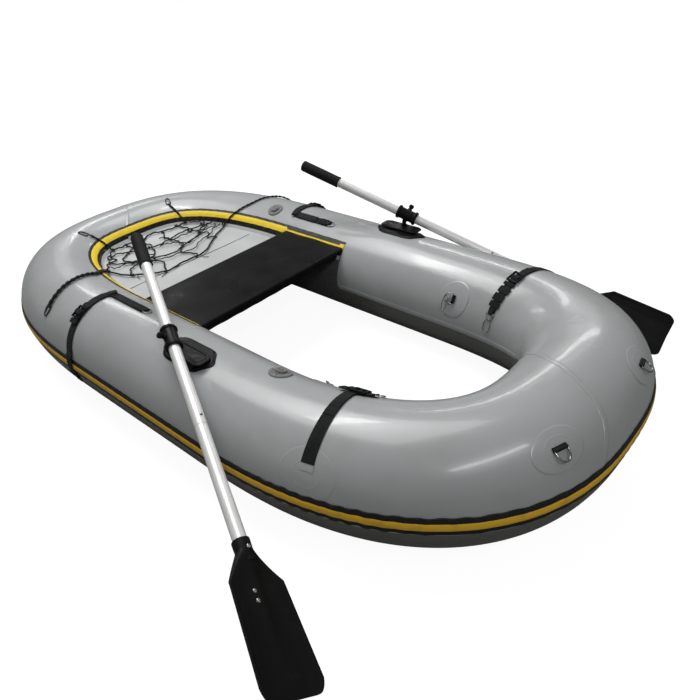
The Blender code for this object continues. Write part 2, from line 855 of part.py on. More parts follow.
def strap_set(name, side, x_share, route, heading, ring_drop, buckle_at, buckle_way, lift):
    """A strap with a loop at its end, its buckle and the ring in the loop.

    heading is the strap's way at its loop, and ring_drop is how far the ring
    leans down to the tube. buckle_at is the buckle's (forward, arc height)
    offset, buckle_way its heading and lift the gap under it.
    """
    s = run_at_share(x_share)
    points, faces = ribbon(side, s, route, STRAP_WIDTH, SEAT_GAP, STRAP_THICKNESS)
    strap = add_mesh(f"{name}_strap", points, faces, "black_webbing")
    end = route[-1]
    here, along, across, normal = local_frame(side, s - end[0], end[1] / TUBE_RADIUS, heading)
    outside = STRAP_RING_WIRE / 2 + RUN + LOOP_WALL
    bar_centre = here + along * (outside - LOOP_BITE) + normal * (SEAT_GAP + outside)
    loop = sleeve(f"{name}_loop", bar_centre, across, normal, STRAP_RING_WIRE,
                  STRAP_LOOP_WIDTH, LOOP_WALL)
    combine(strap, loop, 'UNION')
    reach = math.cos(ring_drop) * along - math.sin(ring_drop) * normal
    wire_ring(f"{name}_strap_ring", bar_centre, across, reach, STRAP_RING_WIRE,
              STRAP_RING_WIDTH, STRAP_RING_DEPTH, "ring_steel")
    place = (s - buckle_at[0], buckle_at[1] / TUBE_RADIUS)
    here, along, across, normal = local_frame(side, *place, buckle_way)
    base = here + normal * (SEAT_GAP + STRAP_THICKNESS + lift)
    buckle(f"{name}_buckle", base, along, across, normal)


FORWARD = (1.0, 0.0)
OVER = (0.0, 1.0)
strap_set("starboard_bow", -1, STARBOARD_BOW_STRAP_X_SHARE,
          turned_route(BOW_STRAP_LOW_PHI, STARBOARD_BOW_STRAP_TURN_PHI, 0.0,
                       STARBOARD_BOW_STRAP_TAIL),
          FORWARD, STARBOARD_BOW_RING_DROP,
          (STARBOARD_BOW_BUCKLE_RUN, STARBOARD_BOW_STRAP_TURN_PHI * TUBE_RADIUS), FORWARD,
          CURVED_BUCKLE_LIFT)
strap_set("port_bow", 1, PORT_BOW_STRAP_X_SHARE,
          straight_route(BOW_STRAP_LOW_PHI, PORT_BOW_STRAP_END_PHI),
          OVER, PORT_BOW_RING_DROP, (0.0, PORT_BOW_BUCKLE_PHI * TUBE_RADIUS), OVER,
          ROUND_BUCKLE_LIFT)
for side_name, side, share, turn_phi in (
        ("starboard", -1, STARBOARD_STERN_STRAP_X_SHARE, STARBOARD_STERN_STRAP_TURN_PHI),
        ("port", 1, PORT_STERN_STRAP_X_SHARE, PORT_STERN_STRAP_TURN_PHI)):
    strap_set(f"{side_name}_stern", side, share,
              turned_route(STERN_STRAP_LOW_PHI, turn_phi, STERN_STRAP_SLANT, STERN_STRAP_TAIL),
              FORWARD, STERN_RING_DROP, (0.0, STERN_BUCKLE_PHI * TUBE_RADIUS), OVER, BUCKLE_LIFT)


# Seat, deck and net

SEAT_TOP_Z = TUBE_RADIUS * (1 + SEAT_RISE_SHARE)
DECK_TOP = SEAT_TOP_Z - SEAT_HEIGHT - DECK_DROP


def tube_cylinder(name, side, radius):
    """A straight cutter on the side tube's centreline."""
    centre, out, along = tube_frame(side, MIDSHIP)
    half = STERN_CURVE_START + BOW_CURVE_START
    profile = [(-half, radius), (half, radius)]
    points, faces = turned(profile, 96, centre, AXIS_X, AXIS_Y)
    return add_mesh(name, points, faces, None)


def seat():
    """A board with a narrower body under it, its ends shaped to the tubes."""
    top = SEAT_TOP_Z
    ledge = top - SEAT_BOARD_THICKNESS
    base = top - SEAT_HEIGHT
    outline = [
        (SEAT_BACK_X, top), (SEAT_FRONT_X, top), (SEAT_FRONT_X, ledge),
        (SEAT_FRONT_X - SEAT_LEDGE, ledge), (SEAT_FRONT_X - SEAT_LEDGE, base),
        (SEAT_BACK_X + SEAT_LEDGE, base), (SEAT_BACK_X + SEAT_LEDGE, ledge),
        (SEAT_BACK_X, ledge),
    ]
    reach = HALF_RUN_Y
    rings = [[(x, y, z) for x, z in outline] for y in (-reach, reach)]
    points, faces = loft(rings)
    board = add_mesh("seat", points, faces, "seat_fabric", smooth=False)
    hold = TUBE_RADIUS + TOUCH + TRIM_THICKNESS + SEAT_FIT
    combine(board, tube_cylinder("port_seat_cut", 1, hold), 'DIFFERENCE')
    combine(board, tube_cylinder("starboard_seat_cut", -1, hold), 'DIFFERENCE')
    return board


def deck_edge(side, s):
    """Where the deck meets the tube's inner side at a run."""
    centre, out, along = tube_frame(side, s)
    rise = DECK_TOP - centre[2]
    hold = TUBE_RADIUS + TOUCH
    inward = math.sqrt(hold * hold - rise * rise)
    return centre - out * inward


def deck():
    """The cloth floor of the stern, laced to the tube under the trim."""
    front = run_at_x(SEAT_FRONT_X - SEAT_LEDGE)
    port = [(1, front)] + [(1, s) for s in SIDE_STATIONS if s > front]
    starboard = [(-1, s) for _, s in reversed(port[:-1])]
    edge = [deck_edge(side, s) for side, s in port + starboard]
    rings = []
    for z in (DECK_TOP - DECK_THICKNESS, DECK_TOP):
        rings.append([(p[0], p[1], z) for p in edge])
    points, faces = loft(rings)
    return add_mesh("cargo_deck", points, faces, "deck_fabric", smooth=False)


def support(x, y):
    """Height and upward direction of what lies under a place in plan.

    That is the tube near the centreline and the deck elsewhere, with the
    direction eased where they meet.
    """
    apart = np.hypot(RUN_X - x, RUN_Y - abs(y))
    near = int(np.argmin(apart))
    d = float(apart[near])
    middle = centre_height(RUN_X[near])
    rise = DECK_TOP - middle
    contact = math.sqrt(TUBE_RADIUS ** 2 - rise ** 2)
    away = np.array([x - RUN_X[near], y - math.copysign(RUN_Y[near], y), 0.0])
    ease = min(max((d - contact) / NET_EASE / 2 + 1 / 2, 0.0), 1.0)
    if d < contact:
        up = math.sqrt(TUBE_RADIUS ** 2 - d ** 2)
        height = middle + up
    else:
        up = rise
        height = DECK_TOP
    tube_way = away / max(d, NET_CORD) * min(d, contact) + AXIS_Z * up
    tube_way /= np.linalg.norm(tube_way)
    way = AXIS_Z * ease + tube_way * (1 - ease)
    fill = NET_EASE / 4 * math.exp(-((d - contact) / NET_EASE) ** 2)
    return height + fill, way / np.linalg.norm(way)


def net_place(u, v):
    """A place on the net in plan, and how far it lies above its support.

    u runs across from starboard and v aft from the front. The front edge
    bows forward, and gentle waves heap the cords.
    """
    x0, x1, x2, x3 = [share * HALF_RUN_X for share in NET_CORNER_X_SHARES]
    y0, y1, y2, y3 = NET_CORNER_Y
    bow = 4 * u * (1 - u)
    front_mid_x = (x0 + x3) / 2
    front_mid_y = (y0 + y3) / 2
    front = np.array([x0 + (x3 - x0) * u + bow * (NET_FRONT_X_SHARE * HALF_RUN_X - front_mid_x),
                      y0 + (y3 - y0) * u + bow * (NET_FRONT_Y - front_mid_y)])
    back = np.array([x1 + (x2 - x1) * u, y1 + (y2 - y1) * u])
    flat = front + (back - front) * v
    inside = 4 * v * (1 - v)
    sway_x = NET_RIPPLE * math.sin(3.1 * math.tau * u + 2.0 * math.tau * v)
    sway_y = NET_RIPPLE * math.sin(2.3 * math.tau * v + 1.7 * math.tau * u + 1.0) * inside
    heap = NET_HEAP * (1 + math.sin(4.3 * math.tau * u + 1.9 * math.tau * v)) / 2
    return np.array([flat[0] + sway_x, flat[1] + sway_y]), NET_LIFT + heap * inside


def lifted(place, lift):
    """A point above a place in plan by a lift along the support's direction."""
    height, way = support(place[0], place[1])
    return np.array([place[0], place[1], height]) + way * lift


def tail_rows(start, ahead, x_shares, ys, flip):
    """Places of the two edges of a net tail, from its corner to its hook.

    start is the middle of the corner cord's end and ahead its direction.
    """
    route = [np.array([share * HALF_RUN_X, y]) for share, y in zip(x_shares, ys)]
    knots = [start, start + ahead * NET_CORD] + route
    lengths = [0.0]
    for a, b in zip(knots, knots[1:]):
        lengths.append(lengths[-1] + float(np.linalg.norm(b - a)))
    runs = np.linspace(0.0, lengths[-1], NET_TAIL_STEPS + 1)
    xs = np.interp(runs, lengths, [p[0] for p in knots])
    ys = np.interp(runs, lengths, [p[1] for p in knots])
    for _ in range(2):
        xs[1:-1] = (xs[:-2] + xs[1:-1] + xs[2:]) / 3
        ys[1:-1] = (ys[:-2] + ys[1:-1] + ys[2:]) / 3
    rows = []
    for i in range(1, NET_TAIL_STEPS + 1):
        a = max(i - 1, 0)
        b = min(i + 1, NET_TAIL_STEPS)
        along = np.array([xs[b] - xs[a], ys[b] - ys[a]])
        along /= np.linalg.norm(along)
        side_way = np.array([-along[1], along[0]]) * flip * NET_CORD / 2
        middle = np.array([xs[i], ys[i]])
        share = i / NET_TAIL_STEPS
        lift = NET_LIFT + (NET_END_LIFT - NET_LIFT) * share ** 3
        rows.append((middle + side_way, middle - side_way, lift))
    return rows


def cord_cuts(cells, length):
    """Grid cuts with a cord's width at each line, and the lines' cells."""
    cuts = []
    is_cord = []
    half = NET_CORD / 2 / length
    for i in range(cells + 1):
        centre = half + (1 - 2 * half) * i / cells
        cuts.extend([centre - half, centre + half])
        is_cord.append(True)
        if i < cells:
            start = centre + half
            end = half + (1 - 2 * half) * (i + 1) / cells - half
            inner = np.linspace(start, end, NET_SUBSTEPS + 1)[1:-1]
            cuts.extend(inner)
            is_cord.extend([False] * NET_SUBSTEPS)
    return cuts, is_cord


def cargo_net():
    """A knotted net as one lattice of square cords with a tail at each corner.

    The tails are further cells of the same grid, before its front and
    behind its back.
    """
    across = abs(NET_CORNER_Y[3] - NET_CORNER_Y[0])
    deep = abs(NET_CORNER_X_SHARES[1] - NET_FRONT_X_SHARE) * HALF_RUN_X
    u_cuts, u_cord = cord_cuts(NET_COLUMNS, across)
    v_cuts, v_cord = cord_cuts(NET_ROWS, deep)
    rows = len(u_cuts)
    middle_columns = len(v_cuts)
    columns = middle_columns + 2 * NET_TAIL_STEPS
    places = np.zeros((rows, columns, 2))
    lifts = np.full((rows, columns), NET_LIFT)
    for i, u in enumerate(u_cuts):
        for j, v in enumerate(v_cuts):
            places[i, j + NET_TAIL_STEPS], lifts[i, j + NET_TAIL_STEPS] = net_place(u, v)
    keep = np.zeros((rows - 1, columns - 1), dtype=bool)
    lattice = np.logical_or.outer(np.array(u_cord), np.array(v_cord))
    keep[:, NET_TAIL_STEPS:NET_TAIL_STEPS + middle_columns - 1] = lattice
    tail_x = (FRONT_TAIL_X_SHARES, BACK_TAIL_X_SHARES)
    tail_y = (FRONT_TAIL_Y, BACK_TAIL_Y)
    for cell, end, port in ((0, 0, 0), (rows - 2, 0, 1), (0, 1, 0), (rows - 2, 1, 1)):
        edge = NET_TAIL_STEPS + end * (middle_columns - 1)
        inner = edge - 1 if end else edge + 1
        start = (places[cell, edge] + places[cell + 1, edge]) / 2
        before = (places[cell, inner] + places[cell + 1, inner]) / 2
        ahead = (start - before) / np.linalg.norm(start - before)
        sideways = places[cell, edge] - places[cell + 1, edge]
        flip = math.copysign(1.0, ahead[0] * sideways[1] - ahead[1] * sideways[0])
        tail = tail_rows(start, ahead, tail_x[end][port], tail_y[end][port], flip)
        for k, (one, other, lift) in enumerate(tail):
            column = edge + 1 + k if end else edge - 1 - k
            places[cell, column] = one
            places[cell + 1, column] = other
            lifts[cell, column] = lift
            lifts[cell + 1, column] = lift
            keep[cell, column - 1 if end else column] = True
    used = np.zeros((rows, columns), dtype=bool)
    for i in range(rows - 1):
        for j in range(columns - 1):
            if keep[i, j]:
                used[i:i + 2, j:j + 2] = True
    lower = np.zeros((rows, columns, 3))
    upper = np.zeros((rows, columns, 3))
    for i in range(rows):
        for j in range(columns):
            if used[i, j]:
                lower[i, j] = lifted(places[i, j], lifts[i, j])
                upper[i, j] = lifted(places[i, j], lifts[i, j] + NET_CORD)
    points, faces = plate(lower, upper, keep)
    return add_mesh("cargo_net", points, faces, "net_cord")


seat()
deck()
cargo_net()


# Valves

def valve(name, skin, side, x_share):
    """A valve glued into the skin, with its screw cap."""
    s = run_at_share(x_share)
    here, along, across, normal = local_frame(side, s, VALVE_PHI, (1.0, 0.0))
    hole_radius = VALVE_NECK_RADIUS + TOUCH
    reach = VALVE_NECK_DEPTH + OVERRUN
    points, faces = turned([(-reach, hole_radius), (OVERRUN, hole_radius)],
                           VALVE_SIDES, here, normal, along)
    combine(skin, add_mesh(f"{name}_hole", points, faces, None), 'DIFFERENCE')
    outline = round_outline(VALVE_FLANGE_RADIUS, VALVE_SIDES)
    points, faces = surface_disc(side, s, VALVE_PHI, outline, SEAT_GAP, VALVE_FLANGE_THICKNESS)
    body = add_mesh(f"{name}_body", points, faces, "valve_plastic")
    profile = [(-VALVE_NECK_DEPTH, VALVE_NECK_RADIUS), (VALVE_NECK_TOP, VALVE_NECK_RADIUS)]
    points, faces = turned(profile, VALVE_SIDES, here, normal, along)
    combine(body, add_mesh(f"{name}_neck", points, faces, None), 'UNION')
    floor = VALVE_NECK_TOP - VALVE_RECESS_DEPTH
    profile = [(floor, VALVE_RECESS_RADIUS), (VALVE_NECK_TOP + OVERRUN, VALVE_RECESS_RADIUS)]
    points, faces = turned(profile, VALVE_SIDES, here, normal, along)
    combine(body, add_mesh(f"{name}_recess", points, faces, None), 'DIFFERENCE')
    plug = VALVE_RECESS_RADIUS - RUN
    seat_height = VALVE_NECK_TOP + TOUCH
    profile = [(floor + TOUCH, plug), (seat_height, plug), (seat_height, VALVE_CAP_RADIUS),
               (seat_height + VALVE_CAP_HEIGHT, VALVE_CAP_RADIUS)]
    points, faces = turned(profile, VALVE_SIDES, np.zeros(3), normal, along)
    cap = add_mesh(f"{name}_cap", points, faces, "valve_plastic")
    cap.location = here


valve("starboard_valve", skins["starboard", "bow"], -1, STARBOARD_VALVE_X_SHARE)
valve("port_valve", skins["port", "stern"], 1, PORT_VALVE_X_SHARE)


# Net hooks

def net_hook(name, side, x_share, phi, heading):
    """A wire link that lies on the tube at a net line's end."""
    s = run_at_share(x_share)
    here, along, across, normal = local_frame(side, s, phi, heading)
    centre = here + normal * (TOUCH + HOOK_WIRE / 2) - along * HOOK_DEPTH / 2
    wire_ring(name, centre, across, along, HOOK_WIRE, HOOK_WIDTH, HOOK_DEPTH, "ring_steel")


for side_name, side in (("starboard", -1), ("port", 1)):
    net_hook(f"{side_name}_side_net_hook", side, SIDE_HOOK_X_SHARE, SIDE_HOOK_PHI, (0.0, -1.0))
    net_hook(f"{side_name}_stern_net_hook", side, STERN_HOOK_X_SHARE, STERN_HOOK_PHI, (0.0, -1.0))


# Oarlocks

BLOCK_TOP_Z = 2 * TUBE_RADIUS + BLOCK_RISE
BLOCK_Y = HALF_RUN_Y + BLOCK_OUT
LOCK_Y = HALF_RUN_Y + LOCK_OUT


def oarlock_pad(name, side):
    """The glued rubber pad, a long hexagon with round corners."""
    half_long = PAD_LENGTH / 2
    half_arc = PAD_ARC / 2
    flat = half_long * PAD_CORNER_SHARE
    corners = [(half_long, 0.0), (flat, half_arc), (-flat, half_arc),
               (-half_long, 0.0), (-flat, -half_arc), (flat, -half_arc)]
    outline = rounded_outline(corners, 4, PAD_STRAIGHT_SHARE)
    points, faces = surface_disc(side, run_at_x(PAD_X), PAD_PHI, outline, SEAT_GAP, PAD_THICKNESS)
    return add_mesh(name, points, faces, "black_plastic")


def oarlock_block(name, side, block_x, lock_x):
    """The moulded block with its wing bar on top and the post's bore."""
    top = BLOCK_TOP_Z
    under = top - WING_THICKNESS
    low = TUBE_RADIUS
    half = BLOCK_LENGTH / 2
    wing = WING_LENGTH / 2
    outline = [(-half, low), (half, low), (half, under), (wing, under), (wing, top),
               (-wing, top), (-wing, under), (-half, under)]
    rings = []
    for y in (BLOCK_Y - BLOCK_WIDTH / 2, BLOCK_Y + BLOCK_WIDTH / 2):
        rings.append([(block_x + x, side * y, z) for x, z in outline])
    points, faces = loft(rings)
    block = add_mesh(name, points, faces, "black_plastic", smooth=False)
    hold = TUBE_RADIUS + SEAT_GAP + PAD_THICKNESS + TOUCH
    combine(block, tube_cylinder(f"{name}_seat", side, hold), 'DIFFERENCE')
    centre = np.array([lock_x, side * LOCK_Y, top])
    profile = [(-POST_DEPTH - RUN, POST_RADIUS + RUN), (OVERRUN, POST_RADIUS + RUN)]
    points, faces = turned(profile, POST_SIDES, centre, AXIS_Z, AXIS_X)
    combine(block, add_mesh(f"{name}_bore", points, faces, None), 'DIFFERENCE')
    return block


def eye_profile(radius, bore, drop, foot_half, steps):
    """Outer and inner points of a lug with a round top round its hole."""
    outer = []
    inner = []
    for k in range(steps + 1):
        turn = math.pi * k / steps
        outer.append((radius * math.cos(turn), radius * math.sin(turn)))
        inner.append((bore * math.cos(turn), bore * math.sin(turn)))
    outer.extend([(-foot_half, -drop), (0.0, -drop), (foot_half, -drop)])
    for k in (1, 2, 3):
        turn = math.pi + math.pi * k / 4
        inner.append((bore * math.cos(turn), bore * math.sin(turn)))
    return outer, inner


def lug(name, parent, half_width, drop):
    """The post's eye, a flat plate with the tilt pin's hole."""
    outer, inner = eye_profile(LUG_RADIUS, PIN_RADIUS + RUN, drop, LUG_RADIUS, 8)
    rings = []
    for y, loop in ((-half_width, inner), (-half_width, outer),
                    (half_width, outer), (half_width, inner)):
        rings.append([(x, y, z) for x, z in loop])
    points, faces = loft(rings, closed=True)
    return add_mesh(name, points, faces, None, parent)


def clamp_ear(name, parent, low, high, reach):
    """A plate beside the post's eye, round below and joined to the sleeve above."""
    outline = []
    for k in range(9):
        turn = math.pi + math.pi * k / 8
        outline.append((LUG_RADIUS * math.cos(turn), LUG_RADIUS * math.sin(turn)))
    half = CLAMP_EAR_LENGTH / 2
    outline.extend([(half, reach / 2), (half, reach), (-half, reach), (-half, reach / 2)])
    rings = [[(x, y, z) for x, z in outline] for y in (low, high)]
    points, faces = loft(rings)
    return add_mesh(name, points, faces, None, parent)


def oarlock_post(name, swivel):
    """The post that swings in the block, with an eye for the tilt pin."""
    profile = [(-POST_DEPTH, POST_RADIUS), (TOUCH, POST_RADIUS), (TOUCH, POST_HEAD_RADIUS),
               (TOUCH + POST_HEAD_HEIGHT, POST_HEAD_RADIUS)]
    points, faces = turned(profile, POST_SIDES, np.zeros(3), AXIS_Z, AXIS_X)
    post = add_mesh(name, points, faces, "black_plastic", swivel)
    eye = lug(f"{name}_eye", swivel, LUG_THICKNESS / 2, PIN_ABOVE_BLOCK - POST_HEAD_HEIGHT / 2)
    eye.location = (0.0, 0.0, PIN_ABOVE_BLOCK)
    combine(post, eye, 'UNION')
    return post


def oar_clamp(name, tilt, screw_way):
    """The sleeve round the oar, with two ears and the tilt pin between them."""
    bore = SHAFT_RADIUS + RUN
    wall = bore + CLAMP_WALL
    rim = wall + CLAMP_FLANGE
    half = CLAMP_LENGTH / 2
    step = half - CLAMP_FLANGE_LENGTH
    profile = [(-half, bore), (-half, rim), (-step, rim), (-step, wall),
               (step, wall), (step, rim), (half, rim), (half, bore)]
    centre = AXIS_Z * AXIS_ABOVE_PIN
    points, faces = turned(profile, SHAFT_SIDES, centre, AXIS_X, AXIS_Y, closed=True)
    clamp = add_mesh(name, points, faces, "black_plastic", tilt)
    inner = LUG_THICKNESS / 2 + RUN
    outer = inner + CLAMP_EAR
    reach = AXIS_ABOVE_PIN - bore - CLAMP_WALL / 2
    for label, a, b in (("left", inner, outer), ("right", -outer, -inner)):
        ear = clamp_ear(f"{name}_{label}_ear", tilt, a, b, reach)
        combine(clamp, ear, 'UNION')
    through = inner + CLAMP_EAR / 2
    points, faces = turned([(-through, PIN_RADIUS), (through, PIN_RADIUS)], 16,
                           np.zeros(3), AXIS_Y, AXIS_X)
    combine(clamp, add_mesh(f"{name}_pin", points, faces, None, tilt), 'UNION')
    hole = SCREW_RADIUS + RUN
    points, faces = turned([(SHAFT_RADIUS / 2, hole), (rim + OVERRUN, hole)], 16,
                           centre, screw_way, AXIS_X)
    combine(clamp, add_mesh(f"{name}_screw_hole", points, faces, None, tilt), 'DIFFERENCE')
    return clamp


def thumb_screw(name, tilt, screw_way):
    """The screw that pinches the shaft, with a round knob."""
    tip = SHAFT_RADIUS + TOUCH
    seat_run = SHAFT_RADIUS + RUN + CLAMP_WALL + SCREW_NECK
    rounding = SCREW_KNOB_RADIUS / 4
    top = seat_run + SCREW_KNOB_HEIGHT
    profile = [(tip, SCREW_RADIUS), (seat_run, SCREW_RADIUS),
               (seat_run, SCREW_KNOB_RADIUS - rounding),
               (seat_run + rounding, SCREW_KNOB_RADIUS),
               (top - rounding, SCREW_KNOB_RADIUS), (top, SCREW_KNOB_RADIUS - rounding)]
    points, faces = turned(profile, 16, np.zeros(3), screw_way, AXIS_X)
    screw = add_mesh(name, points, faces, "black_plastic", tilt)
    screw.location = Vector(AXIS_Z * AXIS_ABOVE_PIN)
    return screw


# Oars

def tube_piece(name, parent, outer_steps, inner_radius):
    """A tube along X from (run, outer radius) steps and one bore."""
    start = outer_steps[0][0]
    end = outer_steps[-1][0]
    profile = [(start, inner_radius)] + outer_steps + [(end, inner_radius)]
    points, faces = turned(profile, SHAFT_SIDES, AXIS_Z * AXIS_ABOVE_PIN, AXIS_X, AXIS_Y,
                           closed=True)
    return add_mesh(name, points, faces, "oar_aluminium", parent)


def blade_half_width(run):
    """Half the blade's width at a share of its length from its mouth.

    It flares from the neck to the shoulders, widens a little more and then
    rounds off at its corners.
    """
    neck = BLADE_NECK_RADIUS
    shoulder = BLADE_SHOULDER_WIDTH / 2
    end = BLADE_END_WIDTH / 2
    if run < BLADE_NECK_SHARE:
        return neck
    if run < BLADE_SHOULDER_SHARE:
        t = (run - BLADE_NECK_SHARE) / (BLADE_SHOULDER_SHARE - BLADE_NECK_SHARE)
        return neck + (shoulder - neck) * t
    t = (run - BLADE_SHOULDER_SHARE) / (1 - BLADE_SHOULDER_SHARE)
    straight = shoulder + (end - shoulder) * t
    if run < BLADE_CORNER_SHARE:
        return straight
    t = (run - BLADE_CORNER_SHARE) / (1 - BLADE_CORNER_SHARE)
    corner = end * BLADE_ROUND_SHARE
    return straight - corner * (1 - math.sqrt(max(1 - t * t, 0.0)))


def oar_blade(name, parent, mouth, width_way, face_way):
    """The moulded blade: a socket that flattens into a scooped plate."""
    centre = AXIS_Z * AXIS_ABOVE_PIN
    bore = SHAFT_RADIUS + TOUCH
    turn = np.arange(BLADE_SECTION_POINTS) * math.tau / BLADE_SECTION_POINTS
    rings = []
    for run in (BLADE_SOCKET_DEPTH, 0.0):
        ring = circle(centre + AXIS_X * (mouth + run), width_way, face_way, bore,
                      BLADE_SECTION_POINTS)
        rings.append(ring)
    for share in BLADE_RUN_SHARES:
        wide = blade_half_width(share)
        blend = min(share / BLADE_FLAT_SHARE, 1.0)
        ease = blend * blend * (3 - 2 * blend)
        thin = BLADE_NECK_RADIUS + (BLADE_THICKNESS / 2 - BLADE_NECK_RADIUS) * ease
        rib = BLADE_RIB / 2 * ease * (1 - share)
        rib_width = BLADE_NECK_RADIUS * BLADE_RIB_WIDTH_SHARE
        ring = []
        for angle in turn:
            c = math.cos(angle)
            d = math.sin(angle)
            y = wide * c
            z = thin * math.copysign(abs(d) ** (1 - ease / 2), d)
            z += rib * d * math.exp(-(y / rib_width) ** 2) * ease
            z += BLADE_SCOOP * ease * (y / (BLADE_END_WIDTH / 2)) ** 2
            ring.append(centre + AXIS_X * (mouth + share * BLADE_LENGTH)
                        + width_way * y + face_way * z)
        rings.append(ring)
    points, faces = loft(rings)
    return add_mesh(name, points, faces, "black_plastic", parent)


def oar(side_name, pose):
    """One oarlock with its oar, in the pose of the photograph."""
    side = pose["side"]
    lock_x = pose["lock_x"]
    swivel = add_empty(f"{side_name}_swivel", (lock_x, side * LOCK_Y, BLOCK_TOP_Z),
                       (0.0, 0.0, side * pose["swing"]))
    tilt = add_empty(f"{side_name}_tilt", (0.0, 0.0, PIN_ABOVE_BLOCK), (0.0, pose["dip"], 0.0),
                     swivel)
    oarlock_pad(f"{side_name}_oarlock_pad", side)
    oarlock_block(f"{side_name}_oarlock_block", side, pose["block_x"], lock_x)
    oarlock_post(f"{side_name}_oarlock_post", swivel)
    out = np.array([0.0, float(side), 0.0])
    screw_way = math.cos(SCREW_ANGLE) * out + math.sin(SCREW_ANGLE) * AXIS_Z
    oar_clamp(f"{side_name}_oar_clamp", tilt, screw_way)
    thumb_screw(f"{side_name}_thumb_screw", tilt, screw_way)

    grip_end = -pose["inboard_share"] * OAR_LENGTH
    grip_mouth = grip_end + GRIP_LENGTH
    shaft_end = grip_end + OAR_JOINT_SHARE * OAR_LENGTH
    mouth = grip_end + OAR_LENGTH - BLADE_LENGTH
    bore = SHAFT_RADIUS + TOUCH
    deep = grip_end + GRIP_CAP
    rounding = GRIP_RADIUS / 5
    profile = [(deep, bore), (grip_mouth, bore), (grip_mouth, GRIP_RADIUS),
               (grip_end + rounding, GRIP_RADIUS), (grip_end, GRIP_RADIUS - rounding)]
    centre = AXIS_Z * AXIS_ABOVE_PIN
    points, faces = turned(profile, SHAFT_SIDES, centre, AXIS_X, AXIS_Y)
    add_mesh(f"{side_name}_oar_grip", points, faces, "grip_rubber", tilt)

    shaft_bore = SHAFT_RADIUS - SHAFT_WALL
    upper = tube_piece(f"{side_name}_oar_upper_shaft", tilt,
                       [(deep + TOUCH, SHAFT_RADIUS), (shaft_end, SHAFT_RADIUS)], shaft_bore)
    ferrule = shaft_bore - RUN
    lower_steps = [(shaft_end - FERRULE_LENGTH, ferrule), (shaft_end + TOUCH, ferrule),
                   (shaft_end + TOUCH, SHAFT_RADIUS),
                   (mouth + BLADE_SOCKET_DEPTH - TOUCH, SHAFT_RADIUS)]
    lower = tube_piece(f"{side_name}_oar_lower_shaft", tilt, lower_steps, ferrule - SHAFT_WALL)

    button_way = math.sin(BUTTON_ANGLE) * -out + math.cos(BUTTON_ANGLE) * AXIS_Z
    button_place = centre + AXIS_X * (shaft_end - BUTTON_BACK)
    hole = BUTTON_RADIUS + RUN
    for label, piece in (("upper", upper), ("lower", lower)):
        points, faces = turned([(BUTTON_ROOT, hole), (SHAFT_RADIUS + OVERRUN, hole)], 16,
                               button_place, button_way, AXIS_X)
        combine(piece, add_mesh(f"{side_name}_{label}_hole", points, faces, None, tilt),
                'DIFFERENCE')
    root = ferrule - SHAFT_WALL - BUTTON_ROOT
    top = SHAFT_RADIUS + BUTTON_PROUD
    dome = BUTTON_PROUD / 2
    profile = [(root, BUTTON_RADIUS), (top - dome, BUTTON_RADIUS), (top, BUTTON_RADIUS - dome)]
    points, faces = turned(profile, 16, np.zeros(3), button_way, AXIS_X)
    button = add_mesh(f"{side_name}_oar_button", points, faces, "ring_steel", tilt)
    button.location = Vector(button_place)

    roll = pose["blade_roll"]
    width_way = math.cos(roll) * out + math.sin(roll) * AXIS_Z
    face_way = np.cross(AXIS_X, width_way)
    if face_way[2] < 0:
        face_way = -face_way
    oar_blade(f"{side_name}_oar_blade", tilt, mouth, width_way, face_way)


for side_name, pose in OAR_POSE.items():
    oar(side_name, pose)
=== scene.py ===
"""The looks of a one-person inflatable fishing boat, in metres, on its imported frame.

+X is the bow, +Y is port and +Z is up. A place on the tube is a run along its
ring from the bow, positive to port and negative to starboard, an angle round
the tube from its outer side upwards, and a lift above the tube's surface.
"""

import math

import bmesh
import bpy
import numpy as np
from mathutils import Matrix, Vector


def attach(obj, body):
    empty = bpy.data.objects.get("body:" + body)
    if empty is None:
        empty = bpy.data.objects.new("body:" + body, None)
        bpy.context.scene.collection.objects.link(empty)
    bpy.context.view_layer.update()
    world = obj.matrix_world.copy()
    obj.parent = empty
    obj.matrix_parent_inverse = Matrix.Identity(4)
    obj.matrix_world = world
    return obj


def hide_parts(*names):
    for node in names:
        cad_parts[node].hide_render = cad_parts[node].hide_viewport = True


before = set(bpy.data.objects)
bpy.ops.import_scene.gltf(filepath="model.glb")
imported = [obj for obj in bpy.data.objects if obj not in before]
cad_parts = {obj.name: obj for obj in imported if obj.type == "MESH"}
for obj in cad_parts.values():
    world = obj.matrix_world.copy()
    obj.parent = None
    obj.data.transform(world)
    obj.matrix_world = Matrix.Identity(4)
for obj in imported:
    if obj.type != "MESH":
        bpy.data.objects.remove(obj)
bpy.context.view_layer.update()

TUBE_RADIUS = 0.160
HALF_RUN_X = 0.940
HALF_RUN_Y = 0.4275
BOW_CURVE_START = 0.233
STERN_CURVE_START = 0.250
BOW_FULLNESS = 2.78
STERN_FULLNESS = 2.74
BOW_RISE = 0.055
DECK_TOP = 0.24072
DECK_FRONT = -0.029
SEAT_TOP = 0.27552
SEAT_FRONT, SEAT_BACK = -0.015, -0.300
SEAT_BODY_FRONT, SEAT_BODY_BACK = -0.027, -0.288
STRAKE_PHI = math.radians(2.7)
TRIM_PHI = math.radians(134.5)
VALVE_PHI = math.radians(109)
BOW_STRAPS = (("starboard", -1, 0.624), ("port", 1, 0.675))
STERN_STRAPS = (("starboard", -1, -0.356, 101), ("port", 1, -0.335, 107.5))
SIDES = (("starboard", -1), ("port", 1))
X_WAY, Y_WAY, UP = np.eye(3)


# Numbers and ways

def unit(ways):
    """Vectors at length one."""
    return ways / np.linalg.norm(ways, axis=-1, keepdims=True)


def full_turn(count):
    """Angles at even steps round a circle, from zero."""
    return np.arange(count) * math.tau / count


def signed_power(value, power):
    """The size of a value to a power, with the value's own sign."""
    return np.sign(value) * np.abs(value) ** power


